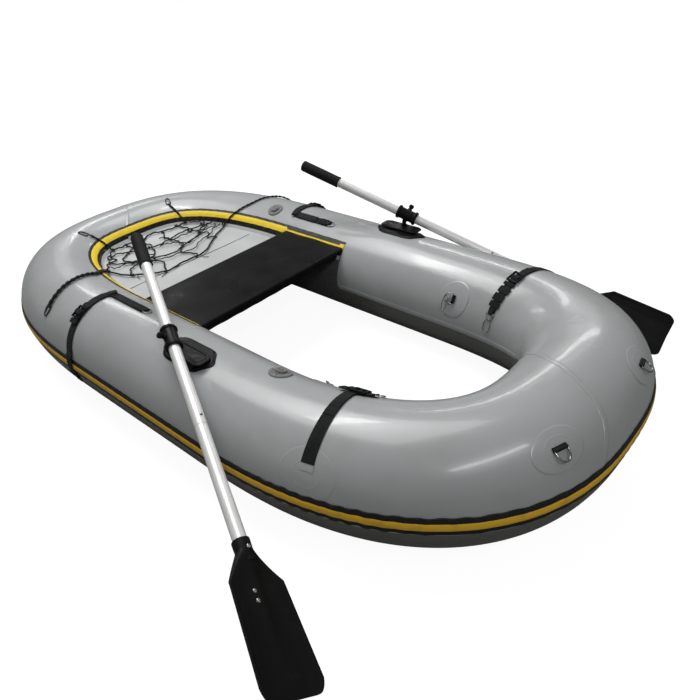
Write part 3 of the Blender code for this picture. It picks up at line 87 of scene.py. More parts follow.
def smooth_step(share):
    """A share between zero and one, eased at both ends."""
    return share * share * (3 - 2 * share)


def run_along(path):
    """The length from the start of a path to each of its points."""
    return np.concatenate([[0.0], np.cumsum(np.linalg.norm(np.diff(path, axis=0), axis=1))])


def end_shares(count):
    """Shares from -1 to 1 that lie closer together towards both ends."""
    return np.sin(np.linspace(-math.pi / 2, math.pi / 2, count))


def grid(u, v):
    """UV for each crossing of the rows' and the columns' lengths."""
    return np.stack(np.meshgrid(u, v, indexing="ij"), -1)


def curve(enter, corner, leave, count):
    """A quadratic curve between two points, pulled to a corner."""
    t = np.linspace(0.0, 1.0, count)[:, None]
    return (1 - t) ** 2 * enter + 2 * t * (1 - t) * corner + t * t * leave


# Places on the tube

def port_run():
    """Centreline points from bow to stern: two superellipse quarters joined by a straight side."""
    turn = np.linspace(0.0, math.pi / 2, 1501)
    bow_x = BOW_CURVE_START + (HALF_RUN_X - BOW_CURVE_START) * np.cos(turn) ** (2 / BOW_FULLNESS)
    bow_y = HALF_RUN_Y * np.sin(turn) ** (2 / BOW_FULLNESS)
    reach = HALF_RUN_X - STERN_CURVE_START
    stern_x = -STERN_CURVE_START - reach * np.sin(turn) ** (2 / STERN_FULLNESS)
    stern_y = HALF_RUN_Y * np.cos(turn) ** (2 / STERN_FULLNESS)
    x = np.concatenate([bow_x, stern_x])
    y = np.concatenate([bow_y, stern_y])
    run = np.concatenate([[0.0], np.cumsum(np.hypot(np.diff(x), np.diff(y)))])
    return run, x, y


RUN_S, RUN_X, RUN_Y = port_run()
HALF_RUN = RUN_S[-1]


def run_at_x(x):
    """The run along the port side at which the centreline has this x."""
    return float(np.interp(-x, -RUN_X, RUN_S))


def run_at_share(share):
    """The run where x is a share of the way from the middle to the bow's end of the centreline."""
    return run_at_x(share * HALF_RUN_X)


def arc(degrees):
    """The length round the tube of an angle."""
    return math.radians(degrees) * TUBE_RADIUS


def flat_line(s):
    """x and y of the centreline at runs of either sign, the same every whole round."""
    wrapped = (np.asarray(s, float) + HALF_RUN) % (2 * HALF_RUN) - HALF_RUN
    x = np.interp(np.abs(wrapped), RUN_S, RUN_X)
    y = np.interp(np.abs(wrapped), RUN_S, RUN_Y) * np.sign(wrapped)
    return x, y


def tube_axes(s):
    """Centre and outward direction of the tube at runs, the centre lifting towards the bow
    with the square of the share of the way there."""
    x, y = flat_line(s)
    step = 0.0055
    x1, y1 = flat_line(s + step)
    x0, y0 = flat_line(s - step)
    length = np.hypot(x1 - x0, y1 - y0)
    out = np.stack([(y1 - y0) / length, (x0 - x1) / length, np.zeros_like(x)], -1)
    rise = np.clip((x - 0.3 * HALF_RUN_X) / (0.7 * HALF_RUN_X), 0, 1) ** 2
    return np.stack([x, y, TUBE_RADIUS + BOW_RISE * rise], -1), out


def on_tube(s, phi, lift):
    """Points at centre + (radius + lift) * (cos phi * outward + sin phi * up)."""
    s, phi, lift = np.broadcast_arrays(np.asarray(s, float), phi, lift)
    centre, out = tube_axes(s)
    way = np.cos(phi)[..., None] * out + np.sin(phi)[..., None] * UP
    return centre + (TUBE_RADIUS + lift)[..., None] * way


def beside(side, s, phi, forward, climb, lift):
    """Points at offsets forward and up round the tube from a place on one side."""
    return on_tube(side * (s - forward), phi + climb / TUBE_RADIUS, lift)


def tangent_frame(side, s, phi, heading):
    """A place on the tube with unit directions along a heading, across it and outwards."""
    here = beside(side, s, phi, 0.0, 0.0, 0.0)
    forward, climb = 0.0016 * np.array(heading) / math.hypot(*heading)
    there = beside(side, s, phi, forward, climb, 0.0)
    out = tube_axes(np.array(float(side * s)))[1]
    normal = math.cos(phi) * out + math.sin(phi) * UP
    along = there - here
    along = unit(along - normal * along.dot(normal))
    return here, along, np.cross(normal, along), normal


# Meshes from grids of points

def skin(points, uv=None, wrap=(False, True), cap=False):
    """One grid of points as corners, faces and UV. Rows and columns may wrap round, and
    capped rows close with a fan. UV is the length along each way, in metres, if not given."""
    rows, columns = points.shape[:2]
    index = np.arange(rows * columns).reshape(rows, columns)
    if wrap[0]:
        index = np.vstack([index, index[:1]])
    if wrap[1]:
        index = np.hstack([index, index[:, :1]])
    flat = points.reshape(-1, 3)
    spread = flat[index]
    if uv is None:
        down = np.linalg.norm(np.diff(spread, axis=0), axis=2).mean(1)
        over = np.linalg.norm(np.diff(spread, axis=1), axis=2).mean(0)
        u = np.concatenate([[0.0], np.cumsum(down)])
        v = np.concatenate([[0.0], np.cumsum(over)])
        uv = grid(u, v)
    corners = [(slice(None, -1), slice(None, -1)), (slice(1, None), slice(None, -1)),
               (slice(1, None), slice(1, None)), (slice(None, -1), slice(1, None))]
    faces = np.stack([index[c] for c in corners], -1).reshape(-1, 4).tolist()
    face_uv = np.stack([uv[c] for c in corners], 2).reshape(-1, 2)
    if cap:
        ring = np.arange(columns)
        ends = np.stack([points[0].mean(0), points[-1].mean(0)])
        for end, row in ((0, 0), (1, (rows - 1) * columns)):
            hub = np.full(columns, len(flat) + end)
            fan = np.stack([hub, row + ring, row + np.roll(ring, -1)], -1)
            if end:
                fan = fan[:, ::-1]
            faces += fan.tolist()
            spot = np.broadcast_to(uv[-end, 0], (columns * 3, 2))
            face_uv = np.concatenate([face_uv, spot])
        flat = np.concatenate([flat, ends])
    return flat, faces, face_uv


def added(name, data):
    """A new object in the scene."""
    obj = bpy.data.objects.new(name, data)
    bpy.context.scene.collection.objects.link(obj)
    return obj


def piece(name, skins, look, body, nodes=(), sharp=40):
    """One named object from several skins, outward facing, that rides on a body."""
    points, faces, face_uv = [], [], []
    base = 0
    for corners, polygons, uv in skins:
        points.append(corners)
        faces += [[base + i for i in p] for p in polygons]
        face_uv.append(uv)
        base += len(corners)
    mesh = bpy.data.meshes.new(name)
    mesh.from_pydata(np.concatenate(points).tolist(), [], faces)
    layer = mesh.uv_layers.new(name="cloth")
    layer.data.foreach_set("uv", np.concatenate(face_uv).astype(np.float32).ravel())
    work = bmesh.new()
    work.from_mesh(mesh)
    bmesh.ops.remove_doubles(work, verts=work.verts, dist=1e-6)
    bmesh.ops.dissolve_degenerate(work, edges=work.edges, dist=1e-7)
    bmesh.ops.recalc_face_normals(work, faces=work.faces)
    work.to_mesh(mesh)
    work.free()
    mesh.shade_smooth()
    mesh.set_sharp_from_angle(angle=math.radians(sharp))
    mesh.materials.append(look)
    obj = added(name, mesh)
    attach(obj, body)
    if nodes:
        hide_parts(*nodes)
    return obj


def turned(profile, sides, origin, axis, across, wrap=False, lobes=0, depth=0.0):
    """A skin turned about an axis from (distance along, radius) pairs. With lobes, the radius
    grows and shrinks by depth as the cosine of lobes times the turn."""
    profile = np.asarray(profile, float)
    turn = full_turn(sides)
    side_way = np.cross(axis, across)
    ring = np.cos(turn)[:, None] * across + np.sin(turn)[:, None] * side_way
    radius = profile[:, 1][:, None] * (1 + depth * np.cos(lobes * turn))
    points = origin + profile[:, 0][:, None, None] * axis + radius[..., None] * ring
    return skin(points, wrap=(wrap, True), cap=not wrap)


def eased(profile, radius, steps, closed=False):
    """A profile with each corner cut by a quadratic curve that starts a radius away from it."""
    profile = [np.array(p, float) for p in profile]
    count = len(profile)
    points = []
    for i in range(count):
        here = profile[i]
        if not closed and i in (0, count - 1):
            points.append(here)
            continue
        before = profile[i - 1] - here
        after = profile[(i + 1) % count] - here
        reach = min(radius, np.linalg.norm(before) / 2.1, np.linalg.norm(after) / 2.1)
        points.extend(curve(here + unit(before) * reach, here, here + unit(after) * reach, steps + 1))
    return np.array(points)


def spaced(path, count, closed=False):
    """A path with points at even lengths along it."""
    path = np.asarray(path, float)
    if closed:
        path = np.vstack([path, path[:1]])
    run = run_along(path)
    even = np.linspace(0.0, run[-1], count + 1 if closed else count)
    out = np.stack([np.interp(even, run, path[:, k]) for k in range(path.shape[1])], -1)
    return out[:-1] if closed else out


def softened(path, times, closed=False):
    """A path with each point moved to the mean of itself and its neighbours, several times."""
    path = np.array(path, float)
    for _ in range(times):
        if closed:
            path = (np.roll(path, 1, 0) + path + np.roll(path, -1, 0)) / 3
        else:
            path[1:-1] = (path[:-2] + path[1:-1] + path[2:]) / 3
    return path


def wire(path, radius, sides, closed=False, up=UP):
    """A round tube along a path."""
    path = np.asarray(path, float)
    if closed:
        tangent = np.roll(path, -1, 0) - np.roll(path, 1, 0)
    else:
        tangent = np.gradient(path, axis=0)
    tangent = unit(tangent)
    side_way = unit(np.cross(np.broadcast_to(up, path.shape), tangent))
    top_way = np.cross(tangent, side_way)
    radius = np.broadcast_to(radius, (len(path),))
    turn = full_turn(sides)
    ring = np.cos(turn)[None, :, None] * side_way[:, None] + np.sin(turn)[None, :, None] * top_way[:, None]
    points = path[:, None] + radius[:, None, None] * ring
    return skin(points, wrap=(closed, True), cap=not closed)


# Finishes

class Finish:
    """A node material, with short ways to add nodes to it."""

    def __init__(self, name, **sockets):
        self.material = bpy.data.materials.new(name)
        self.material.use_nodes = True
        self.tree = self.material.node_tree
        self.shader = self.tree.nodes["Principled BSDF"]
        for socket, value in sockets.items():
            self.shader.inputs[socket.replace("_", " ")].default_value = value
        self.place = self.tree.nodes.new("ShaderNodeTexCoord")

    def feed(self, socket, value):
        """Links a socket or sets a number or colour."""
        if isinstance(value, bpy.types.NodeSocket):
            self.tree.links.new(value, socket)
        else:
            socket.default_value = value

    def node(self, kind, settings=None, **inputs):
        """A node with its settings and named inputs."""
        made = self.tree.nodes.new("ShaderNode" + kind)
        for key, value in (settings or {}).items():
            setattr(made, key, value)
        for key, value in inputs.items():
            self.feed(made.inputs[key.replace("_", " ")], value)
        return made

    def sum(self, operation, a, b=0.0):
        """The value of one Math node."""
        made = self.node("Math", {"operation": operation})
        for socket, value in zip(made.inputs, (a, b)):
            self.feed(socket, value)
        return made.outputs[0]

    def noise(self, scale, detail=3.0, space="Object", stretch=None):
        """Noise on object places, or on the cloth's own UV with a stretch."""
        where = self.place.outputs[space]
        if stretch:
            where = self.node("Mapping", Vector=where, Scale=stretch).outputs[0]
        return self.node("TexNoise", Vector=where, Scale=scale, Detail=detail).outputs["Fac"]

    def blend(self, share, a, b):
        """A colour between two by a share."""
        made = self.node("Mix", {"data_type": "RGBA"})
        for socket, value in ((made.inputs[0], share), (made.inputs[6], a), (made.inputs[7], b)):
            self.feed(socket, value)
        return made.outputs[2]

    def span(self, value, low, high, to_low=0.0, to_high=1.0):
        """A value carried from one span to another, clamped."""
        made = self.node("MapRange", Value=value)
        for key, number in (("From Min", low), ("From Max", high), ("To Min", to_low), ("To Max", to_high)):
            made.inputs[key].default_value = number
        return made.outputs[0]

    def stripe(self, value, middle, half, soft=0.0006):
        """One where a value is within half of a middle, else zero, with a soft edge."""
        return self.span(self.sum("ABSOLUTE", self.sum("SUBTRACT", value, middle)), half, half - soft)

    def cloth_ways(self):
        """The two lengths of the cloth's UV, in metres."""
        parts = self.node("SeparateXYZ", Vector=self.place.outputs["UV"])
        return parts.outputs[0], parts.outputs[1]

    def waves(self, way, pitch):
        """A sine along a length."""
        return self.sum("SINE", self.sum("MULTIPLY", way, math.tau / pitch))

    def weave(self, pitch):
        """Threads over and under: the product of two sines, a pitch apart."""
        a, b = (self.waves(way, pitch) for way in self.cloth_ways())
        return self.sum("MULTIPLY", a, b)

    def relief(self, *layers):
        """Bumps from (height, strength, distance) layers, one over the other."""
        normal = None
        for height, strength, distance in layers:
            made = self.node("Bump", Height=height, Strength=strength, Distance=distance)
            if normal:
                self.tree.links.new(normal, made.inputs["Normal"])
            normal = made.outputs[0]
        self.feed(self.shader.inputs["Normal"], normal)

    def colour(self, value):
        self.feed(self.shader.inputs["Base Color"], value)

    def rough(self, noise, low, high):
        """Roughness between two values, by a noise."""
        self.feed(self.shader.inputs["Roughness"], self.span(noise, 0.3, 0.7, low, high))


def grey(level, tint=(1.0, 1.0, 1.0)):
    """A colour from a level and a tint."""
    return (level * tint[0], level * tint[1], level * tint[2], 1.0)


def hull_cloth(name="hull_cloth", belly_hem_and_shade=False):
    """Glossy coated cloth: a fine scrim under the coat, soft dents and smudges of handling. With
    the belly, hem and shade on, the lower half of the tube is a darker khaki grey, the inner
    sides under the seat are painted dark grey as the seat's shade, and the tube meets the deck
    in a black hem and a strip as pale as the deck."""
    f = Finish(name, Specular_IOR_Level=0.5, Coat_Weight=0.3, Coat_Roughness=0.07)
    cool = (0.955, 0.99, 1.0)
    patchy = f.span(f.noise(2.6, 4.0), 0.35, 0.65)
    smudge = f.span(f.noise(9.0, 2.0), 0.50, 0.80)
    base = f.blend(patchy, grey(0.41, cool), grey(0.44, cool))
    base = f.blend(f.sum("MULTIPLY", smudge, 0.4), base, grey(0.34, (1.0, 0.99, 0.96)))
    if belly_hem_and_shade:
        u, v = f.cloth_ways()
        khaki = (1.0, 1.0, 0.92)
        belly = f.blend(patchy, grey(0.100, khaki), grey(0.135, khaki))
        base = f.blend(f.stripe(v, arc(269), arc(84)), base, belly)
        side_run = f.sum("ABSOLUTE", f.sum("SUBTRACT", u, HALF_RUN))
        # Painted shade: the inner sides under the seat, where the seat's shade falls, are a flat dark grey.
        under = f.sum("MULTIPLY", f.stripe(side_run, run_at_x(-0.160), 0.148),
                      f.stripe(v, TUBE_RADIUS * 3.0, 0.100))
        base = f.blend(under, base, grey(0.12))
        behind = f.span(side_run, run_at_x(SEAT_FRONT - 0.001), run_at_x(SEAT_FRONT - 0.002))
        for middle, half, look in ((arc(143.4) + 0.0125, 0.0080, grey(0.56, (0.98, 1.0, 1.0))),
                                   (arc(143.4), 0.0055, grey(0.012))):
            here = f.sum("MULTIPLY", f.stripe(v, middle, half, 0.0005), behind)
            base = f.blend(here, base, look)
    f.colour(base)
    f.rough(f.noise(5.0, 3.0), 0.18, 0.29)
    f.relief((f.noise(3.2, 2.0), 0.5, 0.004), (f.noise(24.0, 2.0), 0.25, 0.0006),
             (f.weave(0.0016), 0.10, 0.0002))
    return f.material


def striped_tape(name, stripe, black_edge, yellow, wear):
    """A black tape with a coloured middle stripe, ribbed by its weave, and rubbed."""
    f = Finish(name, Specular_IOR_Level=0.4)
    u, v = f.cloth_ways()
    off = f.sum("ABSOLUTE", v)
    wander = f.sum("MULTIPLY", f.sum("SUBTRACT", f.noise(60.0, 2.0), 0.5), 0.0012)
    inside = f.span(f.sum("ADD", off, wander), stripe / 2 + 0.0002, stripe / 2 - 0.0002)
    dirt = f.span(f.noise(30.0, 6.0), 0.52, 0.75)
    lit = f.blend(f.sum("MULTIPLY", dirt, wear), yellow, grey(0.22, (1.0, 0.75, 0.3)))
    f.colour(f.blend(inside, grey(black_edge), lit))
    f.rough(f.noise(40.0, 4.0), 0.38, 0.6)
    ribs = f.waves(u, 0.0022)
    f.relief((f.noise(35.0, 3.0), 0.4, 0.0008), (ribs, 0.25, 0.0002))
    return f.material


def deck_cloth():
    """Plain grey deck cloth with an open weave and soft creases, painted black under the seat as its shade.
    """
    f = Finish("deck_cloth", Specular_IOR_Level=0.4)
    tone = f.span(f.noise(7.0, 5.0), 0.35, 0.68)
    cloth = f.blend(tone, grey(0.50, (0.97, 1.0, 1.0)), grey(0.58, (0.98, 1.0, 1.0)))
    ahead = f.node("SeparateXYZ", Vector=f.place.outputs["Object"]).outputs[0]
    # Painted shade: the deck is black under the seat.
    shade_under_seat = f.span(ahead, SEAT_BODY_BACK + 0.004, SEAT_BODY_BACK + 0.005)
    f.colour(f.blend(shade_under_seat, cloth, grey(0.012)))
    f.rough(f.noise(18.0, 3.0), 0.32, 0.5)
    f.relief((f.noise(9.0, 3.0), 0.35, 0.003), (f.weave(0.0021), 0.25, 0.0003))
    return f.material


def seat_vinyl():
    """Black vinyl with a fine grain and patches of dust."""
    f = Finish("seat_vinyl", Specular_IOR_Level=0.06)
    dust = f.span(f.noise(11.0, 6.0), 0.45, 0.75)
    f.colour(f.blend(dust, grey(0.008), grey(0.014, (1.0, 1.0, 1.02))))
    f.rough(f.noise(16.0, 5.0), 0.26, 0.46)
    cells = f.node("TexVoronoi", Vector=f.place.outputs["Object"], Scale=900.0).outputs["Distance"]
    f.relief((f.noise(8.0, 3.0), 0.4, 0.003), (cells, 0.18, 0.0003))
    return f.material


def webbing():
    """Black webbing: close ribs across with a chevron, fuzzy and a little faded."""
    f = Finish("webbing", Specular_IOR_Level=0.2, Sheen_Weight=0.03, Sheen_Roughness=0.5)
    u, v = f.cloth_ways()
    skew = f.sum("ADD", u, f.sum("PINGPONG", v, 0.0035))
    ribs = f.waves(skew, 0.0021)
    fade = f.span(f.noise(25.0, 5.0), 0.4, 0.75)
    base = f.blend(fade, grey(0.010, (0.93, 1.0, 1.06)), grey(0.020, (0.93, 1.0, 1.06)))
    f.colour(f.blend(f.span(ribs, -1.0, 1.0, 0.0, 0.5), base, grey(0.005)))
    f.rough(f.noise(60.0, 2.0), 0.6, 0.8)
    f.relief((ribs, 0.7, 0.0004), (f.noise(500.0, 2.0), 0.2, 0.0002))
    return f.material


def net_cord():
    """Black braided cord: two sets of slanted yarns that cross."""
    f = Finish("net_cord", Specular_IOR_Level=0.2, Sheen_Weight=0.03)
    u, v = f.cloth_ways()
    left, right = (f.waves(f.sum(way, u, v), 0.003) for way in ("ADD", "SUBTRACT"))
    braid = f.sum("MULTIPLY", left, right)
    f.colour(f.blend(f.span(braid, -1.0, 1.0), grey(0.006), grey(0.020)))
    f.rough(f.noise(90.0, 2.0), 0.55, 0.8)
    f.relief((braid, 0.6, 0.0004))
    return f.material


def moulded(name, level, low, high, grain, spots):
    """Moulded plastic or rubber: fine grain, handling marks and paler scuffs."""
    f = Finish(name, Specular_IOR_Level=0.12)
    scuff = f.span(f.noise(45.0, 8.0), 0.58, 0.78)
    pale = level * 1.5 + 0.008
    f.colour(f.blend(f.sum("MULTIPLY", scuff, spots), grey(level), grey(pale)))
    f.rough(f.noise(20.0, 5.0), low, high)
    f.relief((f.noise(30.0, 3.0), 0.2, 0.0008), (f.noise(grain, 2.0), 0.25, 0.0002))
    return f.material


def drawn_tube():
    """Satin aluminium tube: faint lines along its length, with dull patches."""
    f = Finish("drawn_tube", Metallic=0.30, Specular_IOR_Level=0.5)
    lines = f.noise(1.0, 3.0, "UV", (3.0, 2200.0, 1.0))
    dull = f.span(f.noise(12.0, 5.0), 0.4, 0.7)
    f.colour(f.blend(dull, (0.90, 0.90, 0.89, 1.0), (0.84, 0.84, 0.82, 1.0)))
    f.rough(lines, 0.30, 0.42)
    f.relief((lines, 0.12, 0.0002), (f.noise(14.0, 3.0), 0.08, 0.001))
    return f.material


def polished_steel(name, bright):
    """Polished steel with fine scratches and a few tarnish spots."""
    f = Finish(name, Metallic=1.0)
    spots = f.span(f.noise(160.0, 5.0), 0.58, 0.74)
    f.colour(f.blend(f.sum("MULTIPLY", spots, 0.6), grey(bright), grey(bright * 0.45, (1.0, 0.94, 0.88))))
    f.rough(f.noise(240.0, 4.0), 0.12, 0.28)
    f.relief((f.noise(320.0, 3.0), 0.12, 0.0002))
    return f.material


HULL = hull_cloth()
HULL_BELLY_HEM_SHADE = hull_cloth("hull_cloth_with_belly_hem_and_shade", True)
STRAKE_TAPE = striped_tape("strake_tape", 0.0190, 0.009, (0.95, 0.56, 0.028, 1.0), 0.3)
TRIM_TAPE = striped_tape("trim_tape", 0.0235, 0.008, (0.94, 0.68, 0.03, 1.0), 0.15)
DECK = deck_cloth()
SEAT_LOOK = seat_vinyl()
WEBBING = webbing()
NET_LOOK = net_cord()
BLACK = moulded("moulded_black", 0.008, 0.24, 0.42, 700.0, 0.3)
BLADE_LOOK = moulded("blade_black", 0.007, 0.34, 0.55, 500.0, 0.3)
RUBBER = moulded("grip_foam", 0.016, 0.55, 0.75, 420.0, 0.25)
VALVE_LOOK = moulded("valve_grey", 0.22, 0.22, 0.38, 600.0, 0.3)
TUBE_LOOK = drawn_tube()
STEEL = polished_steel("polished_wire", 0.34)
RIVET_STEEL = polished_steel("polished_rivet", 0.85)
DARK_STEEL = moulded("dull_steel", 0.06, 0.25, 0.45, 500.0, 0.5)


# Camera, floor and lights

def look_from(azimuth, elevation, distance, target, roll, focal, centre):
    """A camera whose lens and shift put a focal length and a centre, in pixels of 700, in frame."""
    azimuth, elevation, roll = map(math.radians, (azimuth, elevation, roll))
    back = np.array([math.sin(azimuth) * math.cos(elevation),
                     -math.cos(azimuth) * math.cos(elevation), math.sin(elevation)])
    level = np.array([math.cos(azimuth), math.sin(azimuth), 0.0])
    upright = np.cross(back, level)
    right = math.cos(roll) * level + math.sin(roll) * upright
    above = -math.sin(roll) * level + math.cos(roll) * upright
    data = bpy.data.cameras.new("camera")
    data.sensor_width = 36.0
    data.lens = 36.0 * focal / 700
    data.shift_x = (350 - centre[0]) / 700
    data.shift_y = (centre[1] - 350) / 700
    camera = added("camera", data)
    turn = Matrix([[right[i], above[i], back[i]] for i in range(3)])
    camera.matrix_world = Matrix.Translation(Vector(np.array(target) + distance * back)) @ turn.to_4x4()
    bpy.context.scene.camera = camera


look_from(43.268, 34.079, 2.088, (0.152, 0.086, 0.031), -4.199, 626.84, (340.946, 351.549))


def pale_world(ambient):
    """White where it is seen, and a plain grey fill for everything else."""
    world = bpy.data.worlds.new("pale_world")
    bpy.context.scene.world = world
    world.use_nodes = True
    nodes, links = world.node_tree.nodes, world.node_tree.links
    fill = nodes["Background"]
    seen = nodes.new("ShaderNodeBackground")
    for glow, strength in ((fill, ambient), (seen, 1.0)):
        glow.inputs[0].default_value = (1.0, 1.0, 1.0, 1.0)
        glow.inputs[1].default_value = strength
    path = nodes.new("ShaderNodeLightPath")
    mix = nodes.new("ShaderNodeMixShader")
    either = nodes.new("ShaderNodeMath")
    either.operation = "MAXIMUM"
    for source, target in ((path.outputs["Is Camera Ray"], either.inputs[0]),
                           (path.outputs["Is Transmission Ray"], either.inputs[1]),
                           (either.outputs[0], mix.inputs[0]),
                           (fill.outputs[0], mix.inputs[1]),
                           (seen.outputs[0], mix.inputs[2]),
                           (mix.outputs[0], nodes["World Output"].inputs[0])):
        links.new(source, target)


def floor_sheet(level):
    """A pale floor that glows, turns pure white away from the boat, and is darker for the light
    that it throws back."""
    f = Finish("pale_floor", Roughness=0.9, Specular_IOR_Level=0.1)
    seen = f.node("LightPath").outputs["Is Camera Ray"]
    f.colour(f.blend(seen, grey(level), grey(1.0)))
    reach = f.node("VectorMath", {"operation": "LENGTH"}, Vector=f.place.outputs["Object"])
    share = f.sum("MULTIPLY", seen, f.span(reach.outputs["Value"], 1.3, 2.3, 0.80, 1.0))
    glow = f.node("Emission", Strength=1.17)
    lit = f.node("MixShader")
    for socket, source in zip(lit.inputs, (share, f.shader.outputs[0], glow.outputs[0])):
        f.feed(socket, source)
    f.feed(f.tree.nodes["Material Output"].inputs[0], lit.outputs[0])
    mesh = bpy.data.meshes.new("floor")
    corners = [(9.0 * x, 9.0 * y, 0.0) for x, y in ((-1, -1), (1, -1), (1, 1), (-1, 1))]
    mesh.from_pydata(corners, [], [(0, 1, 2, 3)])
    mesh.materials.append(f.material)
    added("floor", mesh)


def ceiling_lamp(name, place, size, radiance, aim=(0.0, 0.0, 0.0)):
    """An area lamp of a given brightness, facing a point."""
    data = bpy.data.lights.new(name, "AREA")
    data.shape = "RECTANGLE"
    data.size, data.size_y = size
    data.energy = radiance * math.pi * size[0] * size[1]
    way = Vector(aim) - Vector(place)
    facing = way.to_track_quat("-Z", "Y").to_matrix().to_4x4()
    added(name, data).matrix_world = Matrix.Translation(Vector(place)) @ facing


pale_world(0.18)
floor_sheet(0.22)
ceiling_lamp("middle_lamp", (-1.25, 0.18, 3.0), (1.3, 0.30), 15.0, (-1.2, 0.18, 0.0))
ceiling_lamp("bow_lamp", (2.6, -1.3, 3.0), (2.6, 0.30), 12.0, (2.2, -1.2, 0.0))
ceiling_lamp("stern_lamp", (-5.0, 1.8, 3.0), (1.6, 0.4), 8.0)
ceiling_lamp("port_lamp", (-1.5, 4.6, 3.0), (3.2, 0.30), 10.0)
ceiling_lamp("overhead_soft", (-1.6, 0.3, 4.2), (3.2, 3.2), 3.6)


# Tube, seams and bands

def hull_tube():
    """The whole ring of the tube. On the inside of the bends the cloth puckers: the lift drops
    by a small depth times the bend's sharpness times a wave along the run."""
    s = np.linspace(-HALF_RUN, HALF_RUN, 620, endpoint=False)[:, None]
    phi = full_turn(84)[None, :]
    _, before = tube_axes(s[:, 0] - 0.02)
    _, after = tube_axes(s[:, 0] + 0.02)
    bend = np.clip(np.linalg.norm(after - before, axis=1) / 0.04 * TUBE_RADIUS, 0, 1)[:, None]
    inside = np.clip(-np.cos(phi), 0, 1) ** 3
    wave = 0.5 + 0.5 * np.sin(s * 140 + 2 * np.sin(s * 17))
    lift = -0.0011 * bend * inside * wave ** 2
    points = on_tube(s, phi, lift)
    u = np.linspace(0, 2 * HALF_RUN, 621)
    v = np.linspace(0, math.tau * TUBE_RADIUS, 85)
    skins = [skin(points, grid(u, v), wrap=(True, True))]
    nodes = [f"{side}_{end}_skin" for side in ("port", "starboard") for end in ("bow", "stern")]
    piece("hull_tube", skins, HULL_BELLY_HEM_SHADE, "hull", nodes + ["bow_bulkhead", "stern_bulkhead"],
          sharp=180)


def lap(s, phi, width, height):
    """A welded lap along a line on the tube: a flat strip whose edges fall to the cloth."""
    line = spaced(np.stack([s, phi * TUBE_RADIUS], -1), 160)
    way = unit(np.gradient(line, axis=0))
    across = np.stack([way[:, 1], -way[:, 0]], -1)
    shares = np.array([-1.0, -0.97, -0.85, 0.0, 0.85, 0.93, 0.93, -0.93])
    lifts = np.array([-0.0003, 0.25, 1.0, 1.0, 1.0, 0.3, -0.6, -0.6]) * height
    place = line[:, None] + across[:, None] * (shares * width / 2)[None, :, None]
    return skin(on_tube(place[..., 0], place[..., 1] / TUBE_RADIUS, lifts[None, :]), cap=True)


def seams():
    """The slanted lap over the bow, and one low on the inside of each side."""
    turn = np.radians([215.0, 186.0, 160.0, 138.0, 106.0, 88.0, 72.0, 54.0, 41.0, 23.0, 8.0])
    run = np.array([0.11, 0.085, 0.06, 0.035, -0.026, -0.048, -0.065, -0.073, -0.082, -0.104, -0.12])
    bow = lap(run, turn, 0.014, 0.0009)
    sides = []
    for side in (-1, 1):
        s = side * np.linspace(0.35, run_at_x(-0.005), 60)
        phi = np.full(60, math.radians(184.5))
        sides.append(lap(s, phi, 0.018, 0.0005))
    stern = lap(HALF_RUN + run, turn, 0.014, 0.0006)
    piece("seam_laps", [bow, stern] + sides, HULL, "hull")


def tape(name, s, phi, half, lifts, ruffle, pitch, look, node, shift=0.0, closed=False):
    """A band round the tube from half its section: distances from its middle, and lifts. Its
    edges sway by the ruffle, a length at each run, as a sine with the given pitch. The shift
    moves its stripe across."""
    across = np.array([-x for x in half[:0:-1]] + half)
    lifts = np.array(lifts[:0:-1] + lifts)
    edge = (np.abs(across) / np.abs(across).max()) ** 2
    phase = s / pitch * math.tau
    sway = ruffle * (np.sin(phase + 1.3 * np.sin(s * 9)) + 0.6 * np.sin(phase * 0.43 + 1.0))
    heave = ruffle * np.abs(np.sin(phase / 2 + 0.8 * np.sin(s * 13)))
    height = lifts + heave[:, None] * (0.25 + edge) * (lifts > 0.0012)
    place = across + sway[:, None] * (0.3 + 0.7 * edge)
    points = on_tube(s[:, None], phi + place / TUBE_RADIUS, height)
    run = np.linspace(0, 2 * HALF_RUN, len(s) + 1) if closed else s
    uv = grid(run, np.append(across, across[0]))
    uv[..., 1] -= shift
    skins = [skin(points, uv, wrap=(closed, True), cap=not closed)]
    piece(name, skins, look, "hull", [node], sharp=60)


def rub_strake():
    """A tape with a raised middle rib, round the whole tube, puckered towards the bow."""
    s = np.linspace(-HALF_RUN, HALF_RUN, 1500, endpoint=False)
    ruffle = 0.00025 + 0.0009 * np.exp(-((np.abs(s) - 0.45) / 0.40) ** 2)
    tape("strake_band", s, STRAKE_PHI, [0.0, 0.004, 0.0085, 0.0112, 0.0125, 0.0222, 0.0230, 0.0228],
         [0.0042, 0.0041, 0.0035, 0.0021, 0.0017, 0.0016, 0.0009, 0.0003], ruffle, 0.031,
         STRAKE_TAPE, "rub_strake", closed=True)


def stern_trim():
    """A flat striped tape inside the top of the tube, from the seat round the stern. Beside the
    port end of the seat its stripe runs lower, so that a thin line of it shows."""
    front = run_at_x(SEAT_FRONT)
    s = np.linspace(front, 2 * HALF_RUN - front, 900)
    ruffle = 0.0003 + 0.0002 * np.sin(s * 7) ** 2
    x = flat_line(s)[0]
    beside_seat = (x > SEAT_BACK + 0.003) & (x < SEAT_BODY_FRONT - 0.007) & (s < HALF_RUN)
    tape("trim_band", s, TRIM_PHI, [0.0, 0.0112, 0.0122, 0.0214, 0.0220, 0.0218],
         [0.0019, 0.0018, 0.0014, 0.0014, 0.0008, 0.0002], ruffle, 0.043,
         TRIM_TAPE, "stern_trim", shift=np.where(beside_seat, 0.0070, 0.0)[:, None])


hull_tube()
seams()
rub_strake()
stern_trim()


# Straps, patches and rings

